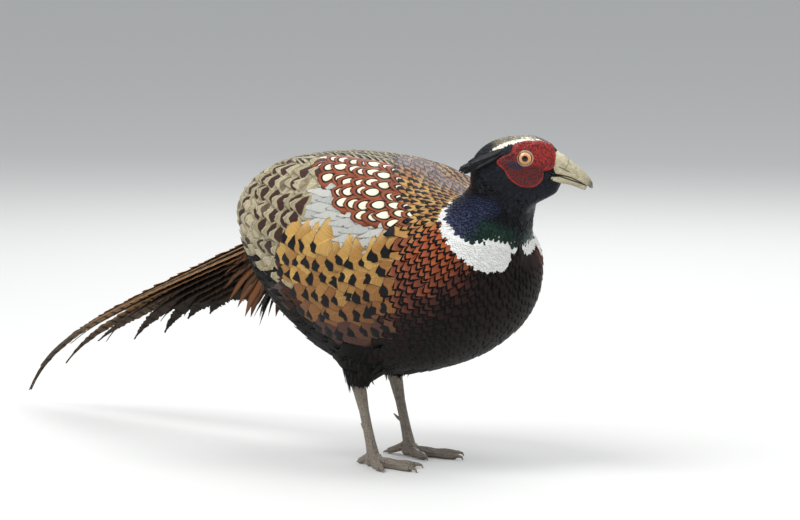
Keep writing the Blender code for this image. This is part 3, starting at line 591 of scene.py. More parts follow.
def growCoat(name, chart, form, inside, reach, finish, slot, *nodes, rows=5, columns=6):
    # feathers that end at the lattice's tips and lie back from them, roots sunk into the skin
    form = {**coat, **form}
    tipS, tipT, step = tipLattice(chart, form, inside, *reach)
    count = len(tipS)
    length = form["length"] * (1 + chance.uniform(-form["lengthStray"], form["lengthStray"], count))
    side = np.where(tipT < 0, -1.0, 1.0)
    turn = np.radians(form["turn"] * side + chance.uniform(-1, 1, count) * form["stray"])[:, None]
    half = np.linalg.norm(chart.at(tipS, tipT)[2], axis=-1) * math.radians(step) * form["cover"] / 2
    f = 1 - (1 - np.linspace(0, 1, rows + 1)) ** 1.5         # along the feather, root to tip
    u = np.linspace(-1, 1, columns + 1)                      # across it
    spine = []
    s, t = tipS, tipT
    for k in range(rows, -1, -1):
        _, along, around, normal = chart.at(s, t)
        back = unit(along)
        heading = back * np.cos(turn) + unit(np.cross(back, normal)) * np.sin(turn)
        spine.insert(0, (s, t, along, around, heading, np.cross(heading, normal)))
        if k:
            ds, dt = chart.move(along, around, heading * (-(f[k] - f[k - 1]) * length)[:, None])
            s, t = s + ds, t + dt
    root, full, tip = form["rootWidth"], form["fullest"], form["tipWidth"]
    shape = np.where(f < full, root + (1 - root) * np.sin(np.clip(f / full, 0, 1) * math.pi / 2),
                     tip + (1 - tip) * np.cos(np.clip((f - full) / (1 - full), 0, 1) * math.pi / 2))
    top, under, placeValues, kindValues = np.zeros((4, rows + 1, columns + 1, count, 3))
    luck = chance.uniform(0, 1, count)
    lifted = chance.uniform(-0.5, 0.5, count) * form["unruly"]
    fray = chance.uniform(-1, 1, (columns + 1, count)) * form["fray"]
    fray[[0, -1]] *= 0.4                                     # the corners stay neater
    crown = form["crown"] * form["slope"] * form["spacing"]
    for k, (lineS, lineT, along, around, heading, across) in enumerate(spine):
        for j in range(columns + 1):
            w = half * shape[k] * u[j]
            swept = length * (form["sweep"] * abs(u[j]) ** 2.2 - fray[j]) * f[k] ** 3
            ds, dt = chart.move(along, around, across * w[:, None] - heading * swept[:, None])
            point, _, _, normal = chart.at(lineS + ds, lineT + dt)
            toTip = length * (1 - f[k]) + np.maximum(swept, 0)
            height = np.interp(lineS + ds, *zip(*coatDepths)) * form["rise"] - form["slope"] * toTip
            height = height + lifted * f[k] + crown * (1 - u[j] ** 2) * f[k]
            height = np.maximum(height, -0.0006)             # roots stay just under the skin
            top[k, j] = point + normal * height[:, None]
            under[k, j] = point + normal * (height - form["thickness"])[:, None]
            placeValues[k, j] = columnsOf(length * (1 - f[k]) / form["spacing"], u[j],
                                          barbRun(length * f[k], w, luck))
            kindValues[k, j] = columnsOf(luck, tipS, np.abs(tipT))
    rootS, rootT = spine[0][:2]
    centres = columnsOf(((rootT + 180) / 360) % 1, 1 - np.clip(rootS / chart.stations, 0, 1))
    centres = np.clip(centres, bakePatch, 1 - bakePatch)
    piece = weave(name, top, under, placeValues, kindValues, centres)
    return finishPiece(piece, finish, slot, *nodes)


# Colour borders on the chart: angle and station, but station and angle for the lower edge of the wing

borders = {
    "neck": ((0, 8.0), (42, 8.2), (62, 8.45), (75, 8.74), (99, 8.75), (120, 8.45), (141, 7.95),
             (165, 7.95), (180, 8.1)),
    "collar": ((0, 8.0), (42, 8.3), (62, 8.62), (75, 8.92), (102, 9.08), (126, 9.14), (144, 9.14),
               (160, 9.05), (168, 8.85), (173, 8.3), (180, 8.1)),
    "mantle": ((-180, 8.3), (-84, 8.9), (-76, 9.4), (-66, 10.2), (-57, 10.3), (-48, 10.6), (-33, 10.8),
               (-12, 11.8), (0, 12.4), (15, 12.8), (30, 12.4), (45, 11.2), (57, 10.3), (66, 10.2),
               (76, 9.4), (84, 8.9), (180, 8.3)),
    "chestnut": ((0, 14.7), (20, 14.8), (33, 14.0), (48, 12.9), (54, 12.6), (60, 12.2), (66, 11.3),
                 (70, 10.8), (180, 10.8)),
    "breast": ((0, 10.4), (57, 10.4), (78, 10.7), (90, 11.2), (105, 11.8), (123, 12.4), (138, 13.0),
               (146, 13.7), (160, 13.4), (180, 13.0)),
    "flankRear": ((0, 14.7), (66, 14.7), (75, 15.2), (93, 15.4), (108, 15.0), (117, 14.7), (132, 14.4),
                  (140, 13.4), (180, 13.0)),
}
wingEdge = ((10.0, 60), (10.5, 62), (11.2, 71), (12.0, 75), (13.0, 75), (14.3, 67), (15.0, 70))


def border(name, angle):
    return np.interp(angle, *zip(*borders[name]))


def breastEdge(angle):
    return border("breast", angle) + 0.24 * np.sin(angle * 0.47)   # wavy, so that the two coats interlock


def rimBand(q, across, depth):
    # a band of even width along the outline of the tip
    reach = q / (1 + across * 2.2)
    return reach.ramp(depth, depth * 0.75)


def paintBreast(q, across, r, s, a):
    copper = (a + r * 10).ramp(76, 96).mix("a37a44", "984826")
    copper = (s + r * 0.8).ramp(10.0, 11.9).mix(copper, "7a4230")
    # painted highlight: a lighter copper on the exposed outer part of each feather
    copper = (q.ramp(1.1, 0.4) * 0.2).mix(copper, "cf8450")
    low = (a + r * 12 + (s - 10) * 4).ramp(106, 146)
    copper = low.mix(copper, "402522")
    copper = (a + r * 10 + (s - 9) * 4).ramp(128, 158).mix(copper, "1d1310")
    return rimBand(q, across, 0.30 + r * 0.14).mix(copper, "070607")


def paintFlank(q, across, r, s, a):
    gold = r.ramp(0.2, 0.8).mix("be9652", "a67a3e")
    gold = ((across + r * 0.2).ramp(0.5, 1.0) * 0.45).mix(gold, "d4b47a")
    gold = (a + r * 22).ramp(94, 124).mix(gold, "80552e")
    gold = (a + r * 12).ramp(120, 138).mix(gold, "4a3028")
    # painted shade: the part of each feather that lies under the next rows is darker
    gold = (q.ramp(1.3, 2.2) * 0.5).mix(gold, "6e4c2a")
    size = 0.84 + r * 0.46
    spot = ((across / 0.80 + q / 0.62) / size).ramp(1.06, 0.94)
    return spot.mix(gold, "060508")


def paintMantle(q, across, r, s, a):
    top = (a + r * 10).ramp(26, 8)
    gold = r.ramp(0.3, 0.9).mix("bb9453", "9c6c3a")
    gold = top.mix(gold, "857470")
    side = top.mix("834526", "5f4a48")
    gold = (across.ramp(0.40, 0.70) * 0.85).mix(gold, side)
    arrow = (across - (0.92 - q) * 0.60).ramp(0.14, 0.06) * q.ramp(1.35, 1.15)
    dark = (arrow * (1 - top * 0.35)).most(across.ramp(0.66, 0.80))
    return dark.mix(gold, "070607")


def paintScapular(q, across, r, s, a):
    chestnut = r.mix("7a3b24", "96502e")
    radius = ((q - 0.98 + r * 0.15) / (0.36 + r * 0.12)) ** 2 + (across / 0.35) ** 2
    size = radius ** 0.5
    ring = size.ramp(1.52, 1.38).mix(chestnut, "0b0706")
    edge = (q.ramp(0.16, 0.04) * 0.6).mix(ring, "2a120b")
    cream = (q.ramp(0.7, 1.5) * 0.35).mix("e6dec4", "b99a72")
    return size.ramp(1.06, 0.94).mix(edge, cream)


def paintCovert(q, across, r, s, a):
    grey = r.mix("a9aaa6", "b6b6ae")
    fleck = q.finish.noise(90, 1, q.finish.objectPlace()).ramp(0.64, 0.72) * q.ramp(1.6, 0.8)
    return (fleck * 0.5).mix(grey, "7d746a")


def paintRear(q, across, r, s, a):
    buff = r.mix("958a6a", "ada286")
    stripes = (q * 7 + across * 6).sine().ramp(0.1, 0.8)
    buff = (stripes * 0.5).mix(buff, "756747")
    buff = (across.ramp(0.60, 0.9) * 0.6).mix(buff, "cfc7ae")
    buff = (q.ramp(0.22, 0.06) * 0.8).mix(buff, "d0c8b0")
    shape = ((q - 0.86 - across * 0.2) / 0.36) ** 2 + (across / 0.66) ** 2
    # painted shadow: a thin dark line along each tip, for the shade between the feathers
    buff = (q.ramp(0.07, 0.02) * 0.6).mix(buff, "5a4c34")
    middle = s.ramp(17.2, 18.4).most(a.ramp(88, 98))
    patch = shape.ramp(1.25, 0.8) * (r + middle * 0.75).ramp(0.9, 0.7)
    return patch.mix(buff, "3a221a")


def paintBack(q, across, r, s, a):
    buff = r.mix("a69c7c", "8b8160")
    wedge = (across - (q - 0.15) * 0.45).ramp(0.10, 0.02) * q.ramp(0.18, 0.3)
    buff = (across.ramp(0.6, 0.85) * 0.6).mix(buff, "d2caa8")
    return wedge.mix(buff, "2e2018")


def paintBelly(q, across, r, s, a):
    black = r.mix("0a0908", "141110")
    grey = r.ramp(0.80, 0.90) * s.ramp(14.2, 14.8) * a.ramp(150, 135)
    black = (grey * 0.8).mix(black, "57504c")
    rufous = s.ramp(15.9, 15.2) * s.ramp(13.9, 14.4) * a.ramp(128, 108)
    return (rufous * 0.8).mix(black, "4a2a1c")


def paintCollar(q, across, r, s, a):
    return (q.ramp(1.6, 0.1) * 0.3 + r * 0.12).mix("dcdcd8", "f0f0ee")


def paintNeck(q, across, r, s, a):
    black = r.mix("07080b", "0f1017")
    violet = s.ramp(5.8, 6.7) * a.ramp(40, 60) * a.ramp(128, 104)
    green = s.ramp(6.8, 7.4) * a.ramp(100, 130) * a.ramp(182, 165)
    sheen = (violet * (0.5 + r * 0.3)).mix(black, "242b48")
    return (green * (0.5 + r * 0.3)).mix(sheen, "1b382c")


def paintCrown(q, across, r, s, a):
    olive = r.mix("6a6654", "8a8570")
    olive = s.ramp(2.4, 1.0).mix(olive, "151512")
    olive = s.ramp(3.8, 4.6).mix(olive, r.mix("0b0c10", "1c1f2a"))
    middle = 21.5 - (1.9 - s).most(0.0) * 8
    off = abs(a - middle) / (6.0 - (s - 2.6).most(0.0) * 1.9)
    stripe = off.ramp(1.05, 0.85) * s.ramp(0.9, 1.3) * s.ramp(4.9, 4.5)
    dark = (a - middle).ramp(0.0, 3.0).mix(olive, r.mix("08090d", "181b26"))
    return stripe.mix(dark, "f0ecdc")


# The coat, zone by zone: the tips stand at the spacing along the bird and in so many columns round it;
# cover is the width in columns, sweep how far the edges lag behind the tip, stray the turn in degrees

zones = {
    "head": {"spacing": 0.0019, "columns": 56, "length": 0.0062, "cover": 2.1, "sweep": 0.35, "stray": 8,
             "tipWidth": 0.55, "fray": 0.06, "thickness": 0.00012, "unruly": 0.0002},
    "neck": {"spacing": 0.0036, "columns": 56, "length": 0.0125, "cover": 2.0, "sweep": 0.34, "stray": 7,
             "tipWidth": 0.6, "fray": 0.08, "thickness": 0.00014, "unruly": 0.0004},
    "collar": {"spacing": 0.0021, "columns": 150, "length": 0.0086, "cover": 2.8, "sweep": 0.22, "stray": 4,
               "tipWidth": 0.75, "fray": 0.10, "thickness": 0.00010, "unruly": 0, "rise": 0.96, "crown": 0.1,
               "slope": 0.045, "jitter": 0.3},
    "mantle": {"spacing": 0.0064, "columns": 58, "length": 0.0190, "cover": 1.8, "sweep": 0.26, "stray": 9,
               "tipWidth": 0.62, "jitter": 0.24},
    "breast": {"spacing": 0.0062, "columns": 72, "length": 0.0190, "cover": 1.75, "sweep": 0.30, "stray": 10,
               "tipWidth": 0.66, "turn": 6, "jitter": 0.26},
    "scapular": {"spacing": 0.0110, "columns": 46, "length": 0.0340, "cover": 1.85, "sweep": 0.30,
                 "stray": 5, "tipWidth": 0.66, "thickness": 0.0003, "jitter": 0.24},
    "covert": {"spacing": 0.0260, "columns": 84, "length": 0.0540, "cover": 1.8, "sweep": 0.35, "stray": 1.5,
               "tipWidth": 0.45, "crown": 0.1, "thickness": 0.0001, "turn": 4, "fray": 0.02, "slope": 0.016,
               "unruly": 0, "rise": 0.70},
    "flank": {"spacing": 0.0120, "columns": 32, "length": 0.0440, "cover": 2.2, "sweep": 0.36, "stray": 8,
              "tipWidth": 0.50, "thickness": 0.0003, "turn": 10, "rise": 1.1, "fray": 0.055, "jitter": 0.26},
    "rear": {"spacing": 0.0130, "columns": 38, "length": 0.0430, "cover": 1.8, "sweep": 0.34, "stray": 7,
             "tipWidth": 0.55, "thickness": 0.0003, "turn": 4, "jitter": 0.2, "fray": 0.04},
    "back": {"spacing": 0.0090, "columns": 56, "length": 0.0300, "cover": 1.7, "sweep": 0.42, "stray": 6,
             "tipWidth": 0.5, "thickness": 0.00025},
    "belly": {"spacing": 0.0090, "columns": 48, "length": 0.0300, "cover": 1.9, "sweep": 0.35, "stray": 12,
              "tipWidth": 0.4, "fray": 0.20, "unruly": 0.0014},
}

face = {
    "inner": 0.0062,                     # radius of the lids' opening
    "thickness": 0.0016, "pebble": 0.00022, "fold": 0.0003, "rimSunk": 0.0006, "wall": 0.0012,
    "steps": 150, "rings": 30,
    # outline of the red skin as reach from the eye's centre, by angle from the bill's heading, 0 to 360
    "outline": ((0, 0.0222), (5, 0.0224), (24, 0.0213), (41, 0.0177), (65, 0.0132), (90, 0.0119),
                (110, 0.0116), (135, 0.0122), (157, 0.0100), (170, 0.0122), (180, 0.0175), (188, 0.0222),
                (196, 0.0195), (210, 0.0172), (239, 0.0192), (264, 0.0212), (288, 0.0222), (306, 0.0206),
                (316, 0.0180), (325, 0.0150), (332, 0.0180), (337, 0.0208), (345, 0.0222), (356, 0.0224),
                (360, 0.0222)),
}


def faceReach(angle):
    return np.interp(np.degrees(angle) % 360, *zip(*face["outline"]))


def inHead(points):
    local = points - np.array(headCentre)
    return local @ np.array(headForward), local @ np.array(headLeft), local[..., 2]


def offFace(chart, s, t, margin):
    # off the red skin, or near the middle of the head
    x, y, z = inHead(chart.at(s, t)[0])
    return (np.hypot(x, z) > faceReach(np.arctan2(z, x)) - margin) | (np.abs(y) < 0.005)


def makeBodyCoat(chart):
    print("the coat")

    def grow(zone, first, last, inside, paint, slot, *nodes, rows=5, columns=6, **finishSettings):
        name = zone + "_feathers"
        finish = featherFinish(name + "_vanes", paint, **finishSettings)
        growCoat(name, chart, zones[zone], inside, (first, last), finish, slot, *nodes,
                 rows=rows, columns=columns)

    def onHead(s, a, t):
        x, y, z = inHead(chart.at(s, t)[0])
        onBill = ((x > 0.0225) & (z > -0.0120)) | ((x > 0.0150) & (z < -0.0115) & (z > -0.0180))
        clear = offFace(chart, s, t, 0.0010) & offFace(chart, s - 0.45, t, 0.0020)   # the tip and its root
        return (s > 0.75) & (s < 6.2) & clear & ~onBill

    def onNeck(s, a, t):
        return (s > 5.6) & (s < border("neck", a))

    def onCollar(s, a, t):
        narrower = 0.62 * (t > 125)      # the left half, below
        return (s > border("neck", a)) & (s < border("collar", a) - narrower) & (a > 42)

    def onMantle(s, a, t):
        return (s > border("collar", a)) & (s < border("mantle", t)) & (a < 80)

    def onBreast(s, a, t):
        return (s > border("collar", a)) & (s > border("mantle", t)) & (s < breastEdge(a)) & (a > 62)

    def onScapulars(s, a, t):
        return (s > border("mantle", t)) & (s < border("chestnut", a)) & (a > 14) & (a < 70)

    def onCoverts(s, a, t):
        return (s > border("chestnut", a)) & (s > 10.8) & (s < 14.4) & (a > 36) & (a < 82)

    def onFlank(s, a, t):
        wavyRear = border("flankRear", a) + 0.2 * np.sin(a * 0.6)
        return (a >= np.interp(s, *zip(*wingEdge))) & (a < 137) & (s > breastEdge(a)) & (s < wavyRear)

    def onRear(s, a, t):
        behindFlank = (a < 66) | (s > border("flankRear", a) - 0.2)
        return (s > 14.25) & (s < 19.3) & (s > border("chestnut", a)) & behindFlank & (a > 22) & (a < 104)

    def onBack(s, a, t):
        return (s > border("mantle", t)) & ((a <= 15) | ((a <= 24) & (s > 14.7)))

    def onBelly(s, a, t):
        low = (a >= 134) | ((a >= 100) & (s > 14.6))
        return low & (s > border("breast", a)) & ((s > border("flankRear", a)) | (a > 140))

    grow("head", 0.7, 6.4, onHead, paintCrown, "plumage_green", rows=4, columns=4, roughness=0.38, grain=2.2)
    grow("neck", 5.4, 8.6, onNeck, paintNeck, "plumage_green", rows=4, columns=4, roughness=0.30, grain=1.6,
         Metallic=0.3)
    grow("collar", 7.2, 9.4, onCollar, paintCollar, "plumage_buff", rows=4, columns=4, roughness=0.85,
         grain=1.4, streaks=0.06, shaft=0.0)
    grow("mantle", 7.8, 13.0, onMantle, paintMantle, "plumage_copper")
    grow("breast", 7.8, 14.0, onBreast, paintBreast, "plumage_copper", columns=8, roughness=0.5,
         Specular_IOR_Level=0.1)
    grow("scapular", 10.0, 15.2, onScapulars, paintScapular, "plumage_copper", "wing_left", "wing_right",
         rows=6, grain=0.6)
    grow("covert", 10.4, 14.6, onCoverts, paintCovert, "plumage_tail", rows=6, streaks=0.5, shaft=0.05,
         grain=0.5)
    grow("flank", 10.2, 15.8, onFlank, paintFlank, "plumage_buff", rows=7, columns=8, streaks=0.8,
         grain=0.42)
    grow("rear", 13.6, 19.4, onRear, paintRear, "plumage_buff", rows=6, columns=8, streaks=0.8,
         grain=0.42)
    grow("back", 11.6, 19.6, onBack, paintBack, "plumage_buff")
    grow("belly", 10.0, 19.2, onBelly, paintBelly, "plumage_black", roughness=0.8)


# Free vanes: tail and crest feathers that stand off the skin

def freeVanes(name, vanes, form, finish, slot, *nodes, columns=4):
    # vanes: the line, the roll and the half width at each point of every one
    lines, rolls, widths = (np.array(part) for part in zip(*vanes))
    count, points = lines.shape[:2]
    along = unit(np.gradient(lines, axis=1))
    level = unit(np.cross(np.array((0, 0, 1.0)), along))
    normal = unit(np.cross(along, level))
    rolls = rolls[:, None, None]
    across = level * np.cos(rolls) + normal * np.sin(rolls)
    upward = np.cross(along, across)
    lengths = np.linalg.norm(np.diff(lines, axis=1), axis=-1).sum(1)
    f = np.linspace(0, 1, points)
    u = np.linspace(-1, 1, columns + 1)
    top, under, placeValues, kindValues = np.zeros((4, points, columns + 1, count, 3))
    luck = chance.uniform(0, 1, count)
    rough = chance.uniform(0, 1, (points, 2, count))
    for k in range(points):
        atTip = math.sin(min(1, 4 * (1 - f[k])) * math.pi / 2)       # 0 at the tip, so that it stays put
        for j in range(columns + 1):
            ragged = 1 - form["ragged"] * rough[k, int(u[j] > 0)] * abs(u[j]) ** 3
            w = widths[:, k] * u[j] * ragged
            swept = abs(w) * form["sweep"] * atTip
            rise = form["camber"] * widths[:, k] * (1 - u[j] ** 2)
            spine = lines[:, k] + along[:, k] * swept[:, None]
            top[k, j] = spine + across[:, k] * w[:, None] + upward[:, k] * rise[:, None]
            under[k, j] = top[k, j] - upward[:, k] * form["thickness"]
            placeValues[k, j] = columnsOf(f[k], u[j], barbRun(lengths * f[k], w, luck))
            kindValues[k, j] = columnsOf(luck, np.arange(count) / max(count - 1, 1), lengths * f[k] * 1000)
    centres = columnsOf((np.arange(count) + 0.5) / count, form["patchRow"])
    piece = weave(name, top, under, placeValues, kindValues, centres)
    outward(piece)
    return finishPiece(piece, finish.material, slot, *nodes)


tail = {
    "root": (-0.116, 0.0, 0.1735), "pitch": -19.4, "turn": 4, "swing": 7, "droop": 34,
    "lengths": (0.410, 0.362, 0.306, 0.253, 0.207, 0.169, 0.137, 0.113, 0.097),    # one for each pair
    "halfWidth": 0.0120, "broader": 0.02, "stepDown": 0.0011, "roof": (14, 56), "fan": 0.3, "steps": 110,
    "middle": (0.0048, (0.0016, 0.0004), 13),    # the middle pair: apart, heights of the two, roll
    "together": 0.8,                     # how far the feathers converge towards their tips
    "hook": 30, "hooked": (3, 6),        # how far the tips of these pairs bend down, in degrees
    "shortDroop": 0.11,                  # extra pitch of the shorter pairs, times the pair's number squared
    "form": {"ragged": 0.35, "sweep": 0.6, "camber": 0.10, "thickness": 0.0005, "patchRow": 0.5},
}

coverts = {
    # rufous plumes at the root of the tail, black feathers under it; where two values stand, first and last
    "covert_plumes": {
        "count": 8, "start": (-0.119, 0.0120, 0.1700), "stepDown": 0.0024, "aside": 0.002,
        "stray": (0.003, 0), "pitch": (-24, -60), "pitchStray": 3, "turn": (3, 9),
        "lengths": (0.068, 0.056), "lengthStray": 0.12, "halfWidth": 0.0080, "roll": (45, 80),
        "colours": ("46301f", "704628"), "slot": "plumage_tail", "patchRow": 0.6,
    },
    "undertail_feathers": {
        "count": 12, "start": (-0.104, 0.0050, 0.1420), "stepDown": 0, "aside": 0.014,
        "stray": (0.004, 0.004), "pitch": (-26, -58), "pitchStray": 5, "turn": (4, 4),
        "lengths": (0.048, 0.048), "lengthStray": 0.1, "halfWidth": 0.0060, "roll": (10, 60),
        "colours": ("0d0c0b", "1c1816"), "slot": "plumage_black", "patchRow": 0.7,
    },
}
covertForm = {"ragged": 0.3, "sweep": 0.7, "camber": 0.15, "thickness": 0.0003, "droop": 14.3239}


def featherLine(start, pitch, turn, length, steps, droop, swing, bend):
    # a line backwards from its start that droops and swings more and more; angles in degrees
    share = (np.arange(steps) + 0.5) / steps
    down = np.radians(pitch) - np.radians(droop) * share**bend
    aside = np.radians(turn) + np.radians(swing) * share
    heading = np.stack([-np.cos(aside) * np.cos(down), np.sin(aside) * np.cos(down), np.sin(down)], -1)
    return np.concatenate([[np.array(start)], np.array(start) + np.cumsum(heading * length / steps, axis=0)])


def tailFinish():
    finish = Finish("tail_vanes", Roughness=0.65, Specular_IOR_Level=0.15)
    f, u, barb = finish.attribute("place")
    r, pair, run = finish.attribute("kind")
    across = abs(u)
    wobble = finish.noise(0.05, 2, flat=run)
    bars = (run * 0.46 + across * 1.6 + wobble * 2).sine().ramp(0.45, 0.75)
    olive = across.ramp(0.35, 0.8).mix("7d6442", "8a5a38")
    olive = across.ramp(0.72, 0.92).mix(olive, "b48a60")
    olive = (pair.ramp(0.12, 0.42) * 0.94).mix(olive, "17110e")
    olive = (f.ramp(0.62, 0.9) * 0.8).mix(olive, "2b2620")
    barred = (bars * across.ramp(0.85, 0.6) * 0.9).mix(olive, "15110f")
    lines = finish.noise(1.2, 2, flat=barb)
    stem = across.ramp(0.10, 0.04)
    finish.set("Base Color", stem.mix(barred, "2a1c12").shade(0.75 + lines * 0.45 + r * 0.15))
    finish.bump(lines + stem, 0.4, 0.0005)
    return finish


def makeTail():
    print("the tail")
    vanes = []
    f = np.linspace(0, 1, tail["steps"] + 1)
    for pair, length in enumerate(tail["lengths"]):
        half = tail["halfWidth"] * (1 + tail["broader"] * pair)
        taper = np.maximum(0.07, (1 - f ** (1.6 + 0.4 * pair)) ** 0.9) * np.clip(0.5 + f * 6, 0, 1)
        share = length / tail["lengths"][0]
        droop = tail["droop"] * share**4
        if tail["hooked"][0] <= pair <= tail["hooked"][1]:
            droop += tail["hook"] * (1 - 0.3 * (pair % 2))
        for side in (1, -1):
            roll = math.radians(tail["roof"][0] + (tail["roof"][1] - tail["roof"][0]) * pair / 8)
            aside, up = half * math.cos(roll) + 0.0006, -half * math.sin(roll) - tail["stepDown"] * pair
            if pair == 0:
                aside, heights, roll = tail["middle"]
                up, roll = heights[0 if side > 0 else 1], math.radians(roll)
            line = featherLine(place(*tail["root"]) + Vector((0, side * aside, up)),
                               tail["pitch"] - tail["shortDroop"] * pair**2,
                               tail["turn"] + side * tail["fan"] * pair,
                               length, tail["steps"], droop, tail["swing"] * share, 7)
            if pair == 0:
                line[:, 1] -= side * aside * tail["together"] * f
            line[:, 2] -= up * max(0, tail["together"] - 0.2 * pair) * f
            vanes.append((line, side * roll, half * taper))
    freeVanes("tail_feathers", vanes, tail["form"], tailFinish(), "plumage_tail", "tail", columns=6)


def makeTailCoverts():
    print("the tail coverts")
    f = np.linspace(0, 1, 13)
    pointed = np.clip(0.4 + f * 3, 0, 1) * (1.02 - f**2.5)
    for name, row in coverts.items():
        vanes = []
        for side in (1, -1):
            for k in range(row["count"]):
                share = k / (row["count"] - 1)
                stray = chance.uniform(-1, 1, 4)
                pitch, turn, length, roll = (np.interp(share, (0, 1), row[key])
                                             for key in ("pitch", "turn", "lengths", "roll"))
                x, y, z = row["start"]
                start = place(x + row["stray"][0] * stray[0], side * (y + row["aside"] * share),
                              z + row["stray"][1] * stray[1] - row["stepDown"] * k)
                line = featherLine(start, pitch + row["pitchStray"] * stray[2], side * turn,
                                   length * (1 + row["lengthStray"] * stray[3]),
                                   len(f) - 1, covertForm["droop"], 0, 2)
                vanes.append((line, math.radians(side * roll), row["halfWidth"] * pointed))
        finish = plumeFinish(name + "_vanes", *row["colours"], 0.65)
        freeVanes(name, vanes, {**covertForm, **row}, finish, row["slot"])


def plumeFinish(name, dark, light, roughness, specular=0.2):
    finish = Finish(name, Roughness=roughness, Specular_IOR_Level=specular)
    lines = finish.noise(1.2, 2, flat=finish.attribute("place")[2])
    base = finish.attribute("kind")[0].mix(dark, light)
    finish.set("Base Color", base.shade(0.7 + lines * 0.6))
    finish.bump(lines, 0.4, 0.0004)
    return finish


crest = {
    # in the head's own frame: first and last root, first and last tip, and how far both stray
    "count": 92, "roots": ((-0.0130, 0.0112, 0.0070), (-0.0330, 0.0080, -0.0040)),
    "tips": ((-0.0400, 0.0125, -0.0060), (-0.0490, 0.0120, -0.0105)),
    "spread": 0.0026, "loose": ((0.8, 0.4, 0.8), (1.1, 0.7, 0.8)), "bulge": (0, 0.0020, 0.0012),
    "halfWidth": 0.0027, "roll": 55,
    "form": {"ragged": 0.25, "sweep": 0.8, "camber": 0.2, "thickness": 0.0003, "patchRow": 0.8},
}


def makeCrest():
    print("the ear tufts")
    f = np.linspace(0, 1, 12)
    narrowing = np.clip(0.4 + f * 3, 0, 1) * (1.0 - 0.70 * f**4)
    vanes = []
    for k in range(crest["count"]):
        side = 1 if k % 2 else -1
        share = (k + 0.5) / crest["count"]
        stray = chance.uniform(-1, 1, (2, 3)) * crest["spread"] * np.array(crest["loose"])
        start, end = ((1 - share) * np.array(crest[key][0]) + share * np.array(crest[key][1])
                      for key in ("roots", "tips"))
        start, end = start + stray[0], end + stray[1]
        middle = (start + end) / 2 + np.array(crest["bulge"])
        path = [start * (1 - v) ** 2 + middle * 2 * v * (1 - v) + end * v**2 for v in f]
        line = [fromHead(x, side * y, z) for x, y, z in path]
        roll = math.radians(side * crest["roll"] + chance.uniform(-12, 12))
        vanes.append((line, roll, crest["halfWidth"] * narrowing * chance.uniform(0.8, 1.15)))
    finish = plumeFinish("ear_tuft_vanes", "07080b", "14161d", 0.4, 0.3)
    freeVanes("ear_tufts", vanes, crest["form"], finish, "plumage_green")


thigh = {
    "rings": 9, "around": 22, "reach": 0.036, "stray": 0.3, "length": 0.0170, "halfWidth": 0.0030,
    "lift": 0.10, "sag": 0.002, "sunk": 0.0012,
    "smallFrom": 7, "small": 0.6,        # the lowest rings have smaller feathers
    "form": {"ragged": 0.4, "sweep": 0.8, "camber": 0.15, "thickness": 0.0002, "patchRow": 0.9},
}


def makeThighs(tree):
    print("the thighs")
    f = np.linspace(0, 1, 7)
    pointed = np.clip(0.4 + f * 3, 0, 1) * (1.02 - f**2)
    stray = thigh["stray"]
    vanes = []
    for name in ("thigh_left", "thigh_right"):
        low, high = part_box(name)
        foot = [v.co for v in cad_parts[name].data.vertices if v.co.z < low.z + 0.003]
        hock = sum(foot, Vector()) / len(foot)
        hip = Vector(((low.x + high.x) / 2, (low.y + high.y) / 2, high.z))
        axis = (hock - hip).normalized()
        for k in range(thigh["rings"]):
            size = 1 if k < thigh["smallFrom"] else thigh["small"]
            for j in range(thigh["around"]):
                centre = hip.lerp(hock, (k + 0.5 + chance.uniform(-stray, stray)) / thigh["rings"])
                angle = (j + 0.5 * (k % 2) + chance.uniform(-stray, stray)) * 2 * math.pi / thigh["around"]
                heading = Vector((math.cos(angle), math.sin(angle), 0))
                hit, normal = tree.ray_cast(centre, heading, thigh["reach"])[:2]
                if hit is None or normal.dot(heading) < 0.2:
                    continue
                down = (axis - normal * axis.dot(normal)).normalized()
                way = (down + normal * thigh["lift"] * chance.uniform(0.4, 1.6)).normalized()
                length = thigh["length"] * chance.uniform(0.8, 1.15) * size
                start = hit - normal * thigh["sunk"]
                line = [start + way * length * v - Vector((0, 0, thigh["sag"])) * v * v for v in f]
                level = Vector((0, 0, 1)).cross(way).normalized()
                tangent = normal.cross(way)
                roll = math.atan2(tangent.dot(way.cross(level)), tangent.dot(level))
                vanes.append((line, roll, thigh["halfWidth"] * pointed * size))
    finish = plumeFinish("thigh_vanes", "0c0b0a", "1d1816", 0.75)
    freeVanes("thigh_feathers", vanes, thigh["form"], finish, "plumage_black")


# The face, eyes and bill

